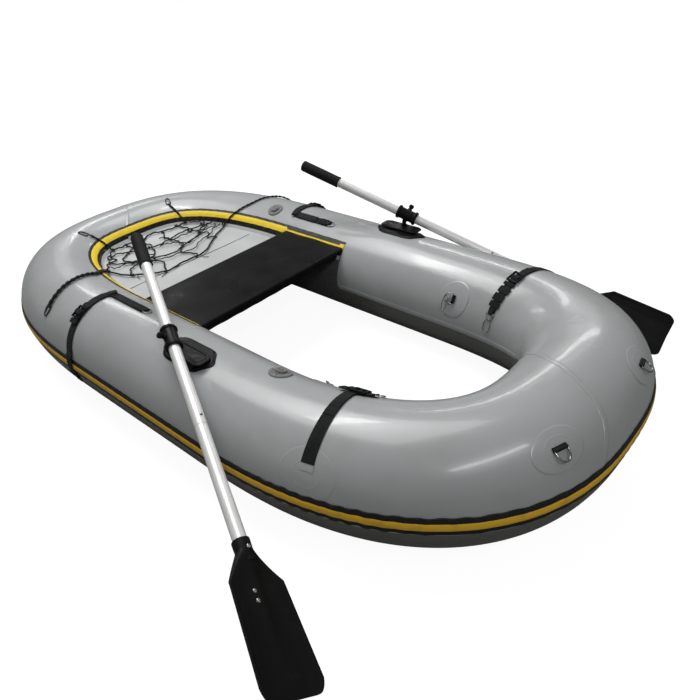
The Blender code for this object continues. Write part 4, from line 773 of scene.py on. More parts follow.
def band(side, s, phi, spine, run, lift, width, thickness):
    """A flat band whose middle goes along a spine on the tube at each run, at each lift. Its
    section is a superellipse, turned with the path where it leaves the tube."""
    run = np.asarray(run, float)
    lift = np.asarray(lift, float)
    place, heading = spine(run)
    across = np.stack([heading[:, 1], -heading[:, 0]], -1)
    dr = np.gradient(run)
    dl = np.gradient(lift)
    size = np.hypot(dr, dl)
    dr, dl = dr / size, dl / size
    turn = full_turn(28)
    c, d = np.cos(turn), np.sin(turn)
    w = np.broadcast_to(width, run.shape)[:, None] / 2 * signed_power(c, 0.25)[None]
    t = thickness / 2 * signed_power(d, 0.7)[None]
    spot = place[:, None] + across[:, None] * w[..., None] + heading[:, None] * (-dl[:, None] * t)[..., None]
    points = beside(side, s, phi, spot[..., 0], spot[..., 1], lift[:, None] + dr[:, None] * t)
    length = np.concatenate([[0.0], np.cumsum(np.hypot(np.diff(run), np.diff(lift)))])
    return skin(points, grid(length, np.append(w[0], w[0][0])), cap=True)


def straight(heading):
    """A spine straight along a heading on the tube."""
    heading = np.array(heading, float) / math.hypot(*heading)

    def spine(run):
        return run[:, None] * heading, np.broadcast_to(heading, (len(run), 2))
    return spine


def along_route(route):
    """A spine along (forward, climb) offsets, smoothed."""
    line = spaced(softened(spaced(route, 120), 3), 240)
    way = unit(np.gradient(line, axis=0))
    length = run_along(line)

    def spine(run):
        inside = np.clip(run, 0.0, length[-1])
        spot = np.stack([np.interp(inside, length, line[:, k]) for k in (0, 1)], -1)
        heading = unit(np.stack([np.interp(inside, length, way[:, k]) for k in (0, 1)], -1))
        return spot + heading * (run - inside)[:, None], heading
    return spine, length[-1]


def fold(bar, radius, low, high, back, dip):
    """Run and lift of a band that goes to a bar, round it and back over itself. bar is the
    bar's (run, lift), low and high the lifts of the lower and upper layers."""
    start = np.linspace(bar[0] - back, bar[0] - dip, 14, endpoint=False)
    ease = np.linspace(0, 1, 10, endpoint=False)
    smooth = smooth_step(ease)
    into = bar[0] - dip + dip * ease
    turn = np.linspace(-math.pi / 2, math.pi / 2, 16)
    run = np.concatenate([start, into, bar[0] + radius * np.cos(turn), into[::-1], start[::-1]])
    under = low + (bar[1] - radius - low) * smooth
    over = high + (bar[1] + radius - high) * smooth
    lift = np.concatenate([np.full(14, low), under, bar[1] + radius * np.sin(turn), over[::-1],
                           np.full(14, high)])
    return run, lift


def d_path(width, depth, count):
    """A D in a plane: a bar on x, and a bow whose reach is depth times sine to the 0.75."""
    turn = np.linspace(0.0, math.pi, 60)
    bow = np.stack([width / 2 * np.cos(turn), depth * np.sin(turn) ** 0.75], -1)
    bar = np.stack([np.linspace(-width / 2, width / 2, 30)[1:-1], np.zeros(28)], -1)
    return softened(spaced(np.vstack([bow, bar]), count, closed=True), 2, closed=True)


def wire_ring(name, centre, bar, reach, thick, width, depth, body):
    """A closed wire D on its bar's centre."""
    flat = d_path(width - thick, depth, 84)
    path = centre + flat[:, :1] * bar + flat[:, 1:] * reach
    piece(name + "_wire", [wire(path, thick / 2, 12, True, np.cross(bar, reach))], STEEL, body,
          [name])


def disc(side, s, phi, radius, low, thickness, steps, sides=96):
    """A glued round patch. Its lift over the cloth is its thickness, rounded at the edge, and
    each step (share, width, height) adds a raised ring."""
    share = np.concatenate([np.linspace(0.0, 0.94, 44), [0.965, 0.985, 0.996, 1.0]])
    height = low + thickness * np.clip(1 - ((share - 0.94) / 0.06).clip(0, 1) ** 2, 0, 1)
    for at, wide, tall in steps:
        height = height + tall * np.exp(-((share - at) / wide) ** 2)
    share = np.concatenate([share, [1.0, 0.0]])
    height = np.concatenate([height, [low * 0.2, low * 0.2]])
    turn = full_turn(sides)
    forward = radius * share[:, None] * np.cos(turn)
    climb = radius * share[:, None] * np.sin(turn)
    return skin(beside(side, s, phi, forward, climb, height[:, None]))


PATCH_STEPS = ((0.55, 0.020, 0.0003),)
DOWN, AFT, FORWARD, OVER = (0.0, -1.0), (-1.0, 0.0), (1.0, 0.0), (0.0, 1.0)


def ring_on_patch(name, side, s, phi, radius, heading):
    """A patch, the cloth tab glued on it, and the D-ring that reaches along a heading."""
    body = f"{name}_d_ring_body"
    here, along, across, normal = tangent_frame(side, s, phi, heading)
    bar_lift = 0.0060
    run, lift = fold((0.0, bar_lift), 0.0030, 0.0036, 0.0052, 0.0075, 0.006)
    tab = band(side, s, phi, straight(heading), run, lift, 0.0250, 0.0015)
    piece(f"{name}_patch_cloth", [disc(side, s, phi, radius, 0.0009, 0.0006, PATCH_STEPS)],
          HULL, "hull", [f"{name}_patch"])
    piece(f"{name}_patch_tab", [tab], WEBBING, "hull")
    angle = math.radians(14)
    reach = math.cos(angle) * along + math.sin(angle) * normal
    wire_ring(f"{name}_d_ring", here + normal * bar_lift, across, reach, 0.0040, 0.036, 0.027, body)


INNER_PATCH_RUN, INNER_PATCH_PHI = run_at_share(0.5), math.radians(152)
for side_name, side, share in (("starboard", -1, 0.972), ("port", 1, 0.992)):
    ring_on_patch(f"{side_name}_bow", side, run_at_share(share), math.radians(43), 0.046, DOWN)
    ring_on_patch(f"{side_name}_inner", side, INNER_PATCH_RUN, INNER_PATCH_PHI, 0.058, AFT)


TURN_RADIUS = 0.026


def turned_route(low_phi, turn_phi, slant, tail):
    """Offsets of a strap that climbs the tube and then turns forward."""
    top = turn_phi * TUBE_RADIUS
    bend = top - TURN_RADIUS
    share = np.linspace(0, 1, 40, endpoint=False)
    climb = np.stack([slant * (1 - share) ** 2,
                      low_phi * TUBE_RADIUS * (1 - share) + bend * share], -1)
    turn = np.linspace(0, math.pi / 2, 20)
    curve = np.stack([TURN_RADIUS * (1 - np.cos(turn)), bend + TURN_RADIUS * np.sin(turn)], -1)
    ahead = np.linspace(TURN_RADIUS, TURN_RADIUS + tail, 20)[1:]
    return np.vstack([climb, curve, np.stack([ahead, np.full(19, top)], -1)])


def straight_route(low_phi, end_phi):
    """Offsets of a strap that goes straight over the tube."""
    climb = TUBE_RADIUS * np.linspace(low_phi, end_phi, 60)
    return np.stack([0 * climb, climb], -1)


def bar_block(centre, along, across, normal, size, round_share=0.45):
    """A bar with rounded edges: a superellipse box of a length, width and height."""
    turn = full_turn(24)
    c, d = signed_power(np.cos(turn), round_share), signed_power(np.sin(turn), round_share)
    end = np.array([-1.0, -0.985, -0.93, -0.8, 0.0, 0.8, 0.93, 0.985, 1.0])
    taper = (1 - np.abs(end) ** 14) ** 0.5 * 0.25 + 0.75
    points = (centre + (end * size[1] / 2)[:, None, None] * across
              + (taper[:, None] * c * size[0] / 2)[..., None] * along
              + (taper[:, None] * d * size[2] / 2)[..., None] * normal)
    return skin(points, cap=True)


def ladder_buckle(name, base, along, across, normal, nodes):
    """A moulded ladder buckle: two rails with three bars between them, the front bar a lip."""
    mid = base + normal * 0.0034
    skins = []
    for way in (-1, 1):
        edge = mid + across * way * 0.0167
        skins.append(bar_block(edge, across, along, normal, (0.0046, 0.0418, 0.0066)))
    for at, long, tall, lift in ((-0.0180, 0.0060, 0.0052, -0.0004), (0.0, 0.0092, 0.0046, -0.0008),
                                 (0.0180, 0.0062, 0.0066, 0.0002)):
        spot = mid + along * at + normal * lift
        skins.append(bar_block(spot, along, across, normal, (long, 0.0340, tall)))
    piece(name, skins, BLACK, "hull", nodes)


def hump(at, gap, low):
    """Run and lift of the layer that is threaded up through a buckle's slots and down again."""
    run = np.linspace(at - 0.030, at + 0.030, 60)
    away = np.abs(run - at)
    high = np.interp(away, [0.0, 0.0048, 0.0100, 0.0150, 0.030], [1.0, 0.93, 0.25, 0.05, 0.0])
    return run, low + (0.0066 + gap - 0.0008) * softened(high[:, None], 3)[:, 0]


def over_strake(side, s, forward):
    """The lower end of a stern strap, which lifts over the strake by a smooth step."""
    low_phi, high_phi = math.radians(-19), math.radians(22)
    climb = np.linspace(low_phi, high_phi, 90) * TUBE_RADIUS
    over = np.clip((arc(15.5) - np.abs(climb - STRAKE_PHI * TUBE_RADIUS)) / 0.012, 0, 1)
    spine, length = along_route(straight_route(low_phi, high_phi) + np.array([forward, 0.0]))
    lift = 0.0019 + 0.0044 * smooth_step(over)
    return band(side, s, 0.0, spine, np.linspace(0, length, 90), lift, 0.0290, 0.0018)


STRAP_RING_WIRE, LOOP_GAP, LOOP_CLOTH = 0.0030, 0.0003, 0.0016


def strap_set(name, side, x_share, route, heading, ring_drop, buckle_at, buckle_way, gap, layers, bulks,
              back):
    """A strap, its doubled stretches, its end folded round the ring's bar, its buckle and the
    ring. Layers are (start, end) runs along the strap that lie on top of it, and bulks are
    folded lumps of it: (forward, degrees round the tube, length, width, lift)."""
    s = run_at_share(x_share)
    spine, length = along_route(route)
    run = np.linspace(0.0, length, 150)
    skins = [band(side, s, 0.0, spine, run, np.full(150, 0.0018), 0.0295, 0.0018)]
    outside = STRAP_RING_WIRE / 2 + LOOP_GAP + LOOP_CLOTH
    bar = (length + outside - 0.0006, 0.0009 + outside)
    loop_run, loop_lift = fold(bar, 0.0026, 0.0036, 0.0055, back, 0.008)
    width = np.interp(bar[0] - loop_run, [0.0, 0.006, 0.012], [0.0195, 0.0200, 0.0265])
    skins.append(band(side, s, 0.0, spine, loop_run, loop_lift, width, LOOP_CLOTH))
    for start, end in layers:
        run = np.linspace(start, end, 90)
        tuck = np.clip(np.minimum(run - start, end - run) / 0.006, 0, 1)
        ripple = 0.0005 * np.sin(run * 210) ** 2
        skins.append(band(side, s, 0.0, spine, run, 0.0030 + (0.0010 + ripple) * tuck, 0.0285, 0.0022))
    if route[0][1] < arc(20):
        skins.append(over_strake(side, s, route[0][0]))
    for bulk in bulks:
        here, along, across, normal = tangent_frame(side, s - bulk[0], math.radians(bulk[1]), buckle_way)
        skins.append(bar_block(here + normal * bulk[4], along, across, normal, bulk[2:4] + (0.0040,), 0.4))
    if buckle_way == OVER:
        at = buckle_at[1] - route[0][1]
        run, lift = hump(at, gap, 0.0037)
        skins.append(band(side, s, 0.0, spine, run, lift, 0.0265, LOOP_CLOTH))
    piece(f"{name}_webbing", skins, WEBBING, "hull", [f"{name}_strap"])
    end = route[-1]
    here, along, across, normal = tangent_frame(side, s - end[0], end[1] / TUBE_RADIUS, heading)
    centre = here + along * (outside - 0.0006) + normal * (0.0009 + outside)
    reach = math.cos(ring_drop) * along - math.sin(ring_drop) * normal
    wire_ring(f"{name}_strap_ring", centre, across, reach, STRAP_RING_WIRE, 0.028, 0.020,
              f"{name}_strap_ring_body")
    here, along, across, normal = tangent_frame(side, s - buckle_at[0], buckle_at[1] / TUBE_RADIUS,
                                                buckle_way)
    ladder_buckle(f"{name}_buckle_frame", here + normal * (0.0027 + gap), along, across, normal,
                  [f"{name}_buckle"])


LOW = math.radians(37)


def straps():
    """The four straps. The bow ones differ as in the photograph, and the stern ones are folded
    forward at the top of the tube."""
    starboard_share, port_share = (share for _, _, share in BOW_STRAPS)
    over_top = 120 + math.degrees(0.02)
    strap_set("starboard_bow", -1, starboard_share, turned_route(LOW, math.radians(120), 0.0, 0.035),
              FORWARD, math.radians(-5), (0.016, arc(120)), FORWARD, 0.0021, [(0.115, 0.265)],
              [(-0.024, over_top, 0.034, 0.031, 0.0066), (-0.010, over_top, 0.018, 0.027, 0.0100)], 0.026)
    strap_set("port_bow", 1, port_share, straight_route(LOW, math.radians(152)), OVER, math.radians(9),
              (0.0, arc(108)), OVER, 0.0014, [(0.130, 0.170), (0.225, 0.312)],
              [(0.0, 118, 0.012, 0.036, 0.0062), (0.001, 126, 0.022, 0.037, 0.0058),
               (-0.001, 135, 0.024, 0.035, 0.0056), (0.0, 143, 0.018, 0.034, 0.0054)], 0.034)
    for side_name, side, share, turn in STERN_STRAPS:
        route = turned_route(math.radians(13), math.radians(turn), 0.018, 0.155)
        strap_set(f"{side_name}_stern", side, share, route, FORWARD, math.radians(5),
                  (0.0, arc(61)), OVER, 0.0005, [(0.100, 0.262), (0.236, 0.372)],
                  [(0.002, 71, 0.015, 0.033, 0.0060), (0.001, 50.5, 0.016, 0.033, 0.0062),
                   (0.0, 61, 0.016, 0.029, 0.0118)], 0.046)


def stern_folds():
    """The folded corner of each stern strap, two layers that stand off the tube."""
    for side_name, side, share, turn in STERN_STRAPS:
        s, phi = run_at_share(share), math.radians(turn)
        here, along, across, normal = tangent_frame(side, s - 0.008, phi - 0.01, (0.5, 1.0))
        skins = []
        for step, (long, wide, lift) in enumerate(((0.030, 0.026, 0.0060), (0.024, 0.022, 0.0084))):
            tilt = unit(along + normal * (0.10 + 0.06 * step))
            skins.append(bar_block(here + normal * lift, tilt, across, np.cross(tilt, across),
                                   (long, wide, 0.0028), 0.35))
        piece(f"{side_name}_strap_corner", skins, WEBBING, "hull")


def strap_anchors():
    """The round cloth anchors under the lower ends of the bow straps, each with its tab."""
    for side_name, side, share in BOW_STRAPS:
        s = run_at_share(share)
        outer = disc(side, s, math.radians(28), 0.062, 0.0002, 0.0005, ((0.5, 0.02, 0.0004),))
        run = np.linspace(0.0, 0.016, 30)
        tab = band(side, s, LOW, straight(DOWN), run, np.full(30, 0.0014), 0.030, 0.0012)
        piece(f"{side_name}_strap_anchor", [outer, tab], HULL, "hull")


def hanging_link(name, side, s, phi, low, width, length, body, stand=0.0):
    """An oval wire link that hangs from a ring, down the inner side of the tube, and stands
    off by some length at its far end."""
    turn = full_turn(72)
    forward = width / 2 * signed_power(np.sin(turn), 0.8)
    climb = low + length * (0.5 - 0.5 * np.cos(turn))
    path = beside(side, s, phi, forward, climb, 0.0030 + stand * (0.7 - 0.3 * np.cos(turn)))
    normal = tangent_frame(side, s, phi, OVER)[3]
    piece(name, [wire(path, 0.0013, 10, True, normal)], STEEL, body)


straps()
stern_folds()
strap_anchors()
hanging_link("port_bow_strap_link", 1, run_at_share(BOW_STRAPS[1][2]), math.radians(152),
             0.021, 0.030, 0.042, "port_bow_strap_ring_body")
hanging_link("port_inner_link", 1, INNER_PATCH_RUN + 0.024, INNER_PATCH_PHI, -0.006, 0.020, 0.044,
             "port_inner_d_ring_body", 0.009)


def net_hook(name, side, x_share, phi):
    """A wire link at the end of a net line, closed, with a small snap tongue across it."""
    s = run_at_share(x_share)
    here, along, across, normal = tangent_frame(side, s, phi, (0.0, -1.0))
    centre = here + normal * 0.0018 - along * 0.013
    flat = d_path(0.022, 0.036, 96)
    path = beside(side, s, phi, flat[:, 0], 0.013 - flat[:, 1], 0.0023)
    tongue = np.linspace(0.0, 1.0, 12)[:, None]
    start = centre + along * 0.022 + across * 0.003
    line = start + (centre + along * 0.003 - across * 0.006 - start) * tongue + normal * 0.0016
    skins = [wire(path, 0.0021, 12, True, normal), wire(line, 0.0009, 8, False, normal)]
    piece(name + "_link", skins, DARK_STEEL, "hull", [name])


for side_name, side in SIDES:
    net_hook(f"{side_name}_side_net_hook", side, -0.518, math.radians(45))
    net_hook(f"{side_name}_stern_net_hook", side, -0.957, math.radians(109))


# Seat, deck and net

SEAT_HOLD = 0.16263


def seat_end(z):
    """How far out the seat reaches at a height, to a radius just outside the tube's."""
    return HALF_RUN_Y - np.sqrt(np.maximum(SEAT_HOLD ** 2 - (z - TUBE_RADIUS) ** 2, 1e-9))


def seat_board():
    """A padded board with a narrower body under it: its section is a rounded outline, its top
    crowned across and along, and its ends run to the tubes."""
    top, ledge, base = SEAT_TOP, SEAT_TOP - 0.013, SEAT_TOP - 0.0345
    outline = [(SEAT_BACK, top), (SEAT_FRONT, top), (SEAT_FRONT, ledge), (SEAT_BODY_FRONT, ledge - 0.001),
               (SEAT_BODY_FRONT, base), (SEAT_BODY_BACK, base), (SEAT_BODY_BACK, ledge - 0.001),
               (SEAT_BACK, ledge)]
    section = spaced(eased(outline, 0.0058, 5, closed=True), 150, closed=True)
    share = end_shares(90)
    x = np.broadcast_to(section[:, 0], (90, 150))
    z = np.broadcast_to(section[:, 1], (90, 150)).copy()
    y = share[:, None] * (seat_end(z) - 0.0002)
    upper = np.clip((z - ledge) / (top - ledge), 0, 1)
    middle, half = (SEAT_FRONT + SEAT_BACK) / 2, (SEAT_FRONT - SEAT_BACK) / 2
    along = np.clip(1 - ((x - middle) / half) ** 2, 0, 1)
    crown = 0.0032 * along * (1 - share[:, None] ** 4)
    dents = 0.0011 * np.sin(y * 21 + 1.0) * np.sin(x * 34 + 0.4) * along
    z = z + upper * (crown + dents - 0.0012)
    points = np.stack([x, y, z], -1)
    board = piece("seat_cover", [skin(points, cap=True)], SEAT_LOOK, "hull",
                  ["seat"], sharp=50)


seat_board()


DECK_APART = math.sqrt((TUBE_RADIUS + 0.0003) ** 2 - (DECK_TOP - TUBE_RADIUS) ** 2)


def deck_edge_x(y):
    """Where the deck's edge at the stern lies for each y: the inside of the tube at its height."""
    s = np.linspace(run_at_x(-0.20), HALF_RUN, 1200)
    centre, out = tube_axes(s)
    inner = centre - out * DECK_APART
    order = np.argsort(-inner[:, 1])
    return np.interp(-np.abs(y), -inner[order, 1], inner[order, 0])


def stern_deck():
    """The deck cloth, stretched inside the tube: small draws in from its edge, a slight drop and a gentle
    wave."""
    reach = HALF_RUN_Y - DECK_APART
    share = end_shares(150)
    y = share * (reach - 0.0004)
    back = deck_edge_x(y)
    ahead = np.linspace(0, 1, 110)
    x = DECK_FRONT + (back[:, None] - DECK_FRONT) * ahead[None]
    wide = np.broadcast_to(y[:, None], x.shape)
    edge = np.minimum(np.minimum(ahead[None], 1 - ahead[None]) * 6, (1 - np.abs(share))[:, None] * 8)
    pull = np.exp(-np.clip(edge, 0, 9) * 2)
    z = -0.0009 + 0.0006 * np.sin(wide * 90 + x * 40) * pull + 0.0005 * np.sin(x * 23 + wide * 11)
    top = np.stack([x, wide, DECK_TOP + z], -1)
    under = top - UP * 0.0014
    rim = np.concatenate([top, under[:, ::-1]], 1)
    uv = np.stack([rim[..., 0], rim[..., 1]], -1)
    uv = np.concatenate([uv, uv[:, :1]], 1)
    skins = [skin(rim, uv)]
    for row in (0, -1):
        pair = np.stack([top[row], under[row]], 0)
        skins.append(skin(pair, wrap=(False, False)))
    cloth = piece("deck_cloth", skins, DECK, "hull", ["cargo_deck"])
    area = float((np.diff(y) * np.abs(back[1:] + back[:-1] - 2 * DECK_FRONT) / 2).sum())


stern_deck()


def support(places):
    """Height and direction of what lies under places in plan: the tube near its centreline
    and the deck elsewhere, eased where they meet."""
    x, y = places[..., 0], places[..., 1]
    away_x = x[..., None] - RUN_X[::3]
    away_y = np.abs(y)[..., None] - RUN_Y[::3]
    apart = np.hypot(away_x, away_y)
    near = apart.argmin(-1)
    d = apart.min(-1)
    rx, ry = RUN_X[::3][near], RUN_Y[::3][near]
    rise = DECK_TOP - TUBE_RADIUS
    contact = math.sqrt(TUBE_RADIUS ** 2 - rise ** 2)
    up = np.where(d < contact, np.sqrt(np.maximum(TUBE_RADIUS ** 2 - d ** 2, 0)), rise)
    ease = np.clip((d - contact) / 0.024 + 0.5, 0, 1)[..., None]
    away = np.stack([x - rx, y - np.copysign(ry, y), np.zeros_like(d)], -1)
    level = away / np.maximum(d, 0.005)[..., None] * np.minimum(d, contact)[..., None]
    tube_way = level + UP * up[..., None]
    way = unit(UP * ease + unit(tube_way) * (1 - ease))
    fill = 0.003 * np.exp(-((d - contact) / 0.012) ** 2)
    return TUBE_RADIUS + up + fill, way


def laid(places, lift):
    """Points above places in plan, by a lift along what lies under them."""
    height, way = support(places)
    return np.concatenate([places, height[..., None]], -1) + way * np.asarray(lift)[..., None]


NET_X = np.array([-0.6251, -0.775, -0.7548, -0.5997])
NET_Y = np.array([-0.250, -0.135, 0.185, 0.265])


def net_place(u, v):
    """A place on the net in plan. u runs across from starboard and v aft from the front,
    whose edge bows forward, and gentle waves sway both ways."""
    v = 0.42 + (v - 0.42) * (1 - 0.35 * np.clip(u - 0.4, 0, 1) ** 2 / 0.36 * np.sin(math.pi * v) ** 2)
    bow = 4 * u * (1 - u)
    front_x = NET_X[0] + (NET_X[3] - NET_X[0]) * u + bow * (-0.4503 - (NET_X[0] + NET_X[3]) / 2)
    front_y = NET_Y[0] + (NET_Y[3] - NET_Y[0]) * u + bow * (-0.080 - (NET_Y[0] + NET_Y[3]) / 2)
    back_x = NET_X[1] + (NET_X[2] - NET_X[1]) * u
    back_y = NET_Y[1] + (NET_Y[2] - NET_Y[1]) * u
    inside = 4 * v * (1 - v)
    x = front_x + (back_x - front_x) * v + 0.007 * np.sin(3.1 * math.tau * u + 2.0 * math.tau * v)
    y = (front_y + (back_y - front_y) * v
         + 0.007 * np.sin(2.3 * math.tau * v + 1.7 * math.tau * u + 1.0) * inside)
    return np.stack([x, y], -1)


def slack(places, lift, seed, most):
    """A strand whose middle wanders sideways in slow waves, as slack cord lies."""
    t = np.linspace(0, 1, len(places))
    way = unit(np.gradient(places, axis=0))
    across = np.stack([-way[:, 1], way[:, 0]], -1)
    hold = np.clip(np.minimum(t, 1 - t) / 0.06, 0, 1)
    wave = np.sin(t * 11 + seed * 1.7) + 0.5 * np.sin(t * 23 + seed * 2.9) + 0.15 * np.sin(t * 47 + seed)
    moved = places + across * (most * hold * wave)[:, None]
    heap = 0.0018 * np.abs(np.sin(t * 37 + seed * 0.7)) * hold
    return laid(moved, lift + heap)


LOOSE_STRANDS = ((0.30, 1.0, 0.32, 0.12), (0.50, 1.0, 0.62, 0.22), (0.55, 1.0, 0.85, 0.35),
                 (0.0, 0.40, 0.20, 0.50))
LOOSE_ENDS = ((-0.455, -0.12, 0.02, -0.035), (-0.452, 0.02, 0.028, 0.02), (-0.52, -0.2, 0.03, -0.012))
NET_ACROSS = (0.0, 0.17, 0.40, 0.66, 0.88, 1.0)
NET_AFT = (0.0, 0.38, 0.70, 1.0)
FRONT_TAILS = (
    ((-0.5997, -0.274), (-0.5189, -0.345), (-0.5056, -0.440), (-0.4935, -0.508), (-0.4885, -0.5290)),
    ((-0.5762, 0.300), (-0.5311, 0.365), (-0.5056, 0.445), (-0.4935, 0.508), (-0.4885, 0.5290)),
)
BACK_TAILS = (
    ((-0.7971, -0.149), (-0.8178, -0.166), (-0.8390, -0.180)),
    ((-0.7849, 0.186), (-0.8122, 0.184), (-0.8390, 0.181)),
)


def tail_strands(route, thick):
    """Two strands of a thickness, twisted along a route in plan, that rise a little at its end."""
    share = np.linspace(0, 1, len(route))
    base = laid(route, 1.7 * thick + 0.0008 + 0.0010 * share ** 3)
    tangent = unit(np.gradient(base, axis=0))
    over = unit(np.cross(tangent, UP))
    above = np.cross(over, tangent)
    turn = share * run_along(base)[-1] / 0.040 * math.tau
    strands = []
    for phase in (0.0, math.pi):
        swing = (over * np.cos(turn + phase)[:, None]
                 + above * np.sin(turn + phase)[:, None]) * thick * 0.7
        strands.append(wire(base + swing, thick, 8))
    return strands


def cargo_net():
    """The knotted net: strands both ways, the slack ones drawn into loops, a knot at each
    crossing, and twisted tails that run over the tube to the hooks."""
    skins = []
    fine = np.linspace(0, 1, 220)
    for i, u in enumerate(NET_ACROSS):
        strand = slack(net_place(np.full(220, u), fine), 0.0042, i, 0.012)
        skins.append(wire(spaced(strand, 110), 0.0026, 8))
    for j, v in enumerate(NET_AFT):
        strand = slack(net_place(fine, np.full(220, v)), 0.0050, j + 9, 0.010 if j else 0.003)
        skins.append(wire(spaced(strand, 200), 0.0030 if j in (0, 3) else 0.0026, 8))
    for k, (u0, u1, v0, v1) in enumerate(LOOSE_STRANDS):
        places = net_place(u0 + (u1 - u0) * fine, v0 + (v1 - v0) * fine)
        skins.append(wire(spaced(slack(places, 0.0068, k + 21, 0.013), 170), 0.0019, 8))
    grid_u, grid_v = np.meshgrid(NET_ACROSS, NET_AFT)
    for k, (u, v) in enumerate(zip(grid_u.ravel(), grid_v.ravel())):
        spot = laid(net_place(np.array([u]), np.array([v])), 0.0046)[0]
        turn = np.linspace(0, math.tau * 1.6, 26)
        size = 0.0034 + 0.0008 * math.sin(k * 2.1)
        knot = np.stack([size * np.cos(turn + k), size * np.sin(turn + k),
                         0.0014 * np.sin(1.6 * turn)], -1)
        skins.append(wire(spot + knot, 0.0020, 7))
    for end, tails in ((0.0, FRONT_TAILS), (1.0, BACK_TAILS)):
        for u, tail in zip((0.0, 1.0), tails):
            start = net_place(np.array([u]), np.array([end]))
            route = softened(spaced(np.vstack([start, tail]), 90), 12)
            skins += tail_strands(route, 0.0036 if u == 0.0 and end == 0.0 else 0.0024)
    for k, (x, y, dx, dy) in enumerate(LOOSE_ENDS):
        t = np.linspace(0, 1, 30)
        loose = np.stack([x + dx * t, y + dy * t + 0.004 * np.sin(t * 5 + k)], -1)
        skins.append(wire(laid(loose, 0.0030 - 0.0006 * t), 0.0012, 7))
    piece("net_cords", skins, NET_LOOK, "hull", ["cargo_net"])


cargo_net()


def draw_line():
    """The thin draw cord that lies across the deck, from side to side."""
    y = np.linspace(-0.272, 0.262, 140)
    x = -0.452 + 0.006 * np.sin(y * 9) - 0.012 * (y + 0.27)
    path = np.stack([x, y, np.full(140, DECK_TOP + 0.0005)], -1)
    piece("deck_draw_line", [wire(path, 0.0007, 6)], NET_LOOK, "hull")


draw_line()


# Valves

def valve(name, side, x_share):
    """A valve: a flange that follows the tube, a neck with a well, and its slotted cap."""
    s = run_at_share(x_share)
    here, along, across, normal = tangent_frame(side, s, VALVE_PHI, FORWARD)
    steps = ((0.90, 0.05, 0.0006), (0.70, 0.05, -0.0008))
    flange = disc(side, s, VALVE_PHI, 0.031, 0.0008, 0.0030, steps, 72)
    neck = eased([(-0.006, 0.0170), (0.0055, 0.0170), (0.0055, 0.0121), (-0.0033, 0.0119),
                  (-0.0033, 0.0)], 0.0010, 4)
    skins = [flange, turned(neck, 64, here, normal, along)]
    reach = 0.0215
    for angle in full_turn(8) + 0.2:
        out = math.cos(angle) * along + math.sin(angle) * across
        over = math.cos(angle) * across - math.sin(angle) * along
        fall = reach ** 2 * out.dot(across) ** 2 / (2 * TUBE_RADIUS)
        spot = here + out * reach + normal * (0.0040 - fall)
        skins.append(bar_block(spot, out, over, normal, (0.0050, 0.0022, 0.0022)))
    piece(f"{name}_ring", skins, VALVE_LOOK, "hull", [f"{name}_body"])
    cap = eased([(-0.0030, 0.0), (-0.0030, 0.0117), (0.0058, 0.0117), (0.0058, 0.0148),
                 (0.0103, 0.0148), (0.0103, 0.0105), (0.0088, 0.0092), (0.0088, 0.0)], 0.0009, 4)
    skins = [turned(cap, 96, here, normal, along, lobes=12, depth=0.015)]
    for way in (along, across):
        skins.append(bar_block(here + normal * 0.0093, np.cross(normal, way), way, normal,
                               (0.0026, 0.019, 0.0024)))
    piece(f"{name}_cap_knob", skins, VALVE_LOOK, name.replace("_valve", "") + "_cap",
          [f"{name}_cap"])


valve("starboard_valve", -1, 0.405)
valve("port_valve", 1, -0.438)


# Oarlocks and oars

LOCK_Y, LOCK_TOP = 0.484, 0.3315
PAD_X, BLOCK_Y = 0.128, 0.470
OAR_LENGTH, GRIP_LENGTH, BLADE_LENGTH = 1.345, 0.145, 0.300
JOINT_RUN = 0.559 * OAR_LENGTH
SHAFT_RADIUS, NECK_RADIUS, BORE_RADIUS = 0.0150, 0.0185, 0.0153
SHOULDER_HALF, TIP_HALF = 0.065, 0.0735
OAR_CENTRE = UP * 0.0295


def oarlock_pad(name, side):
    """The glued pad, a long hexagon with round corners: a raised rim round a sunk field."""
    half_long, half_arc = 0.1025, 0.044
    flat = half_long * 0.60
    corners = [(half_long, 0.0), (flat, half_arc), (-flat, half_arc), (-half_long, 0.0),
               (-flat, -half_arc), (flat, -half_arc)]
    outline = []
    for i in range(6):
        before, here, after = (np.array(corners[k % 6]) for k in (i - 1, i, i + 1))
        enter = (before + here) / 2 + (here - before) / 2 * 0.55
        leave = (here + after) / 2 + (here - after) / 2 * 0.55
        outline.append(curve(enter, here, leave, 12))
    outline = spaced(np.vstack(outline), 160, closed=True)
    profile = [(0.0, 4.0), (0.2, 4.0), (0.4, 4.0), (0.6, 3.9), (0.74, 3.8), (0.78, 4.1), (0.82, 5.0),
               (0.86, 5.4), (0.90, 5.3), (0.93, 4.4), (0.95, 3.0), (0.975, 2.6), (0.99, 2.2), (1.0, 1.6),
               (1.0, 0.6), (0.0, 0.6)]
    share, height = np.array(profile).T * np.array([[1.0], [0.001]])
    place = share[:, None, None] * outline
    points = beside(side, run_at_x(PAD_X), math.radians(79.3), place[..., 0], place[..., 1],
                    height[:, None])
    piece(f"{name}_pad_plate", [skin(points)], BLACK, "hull",
          [f"{name}_pad"])


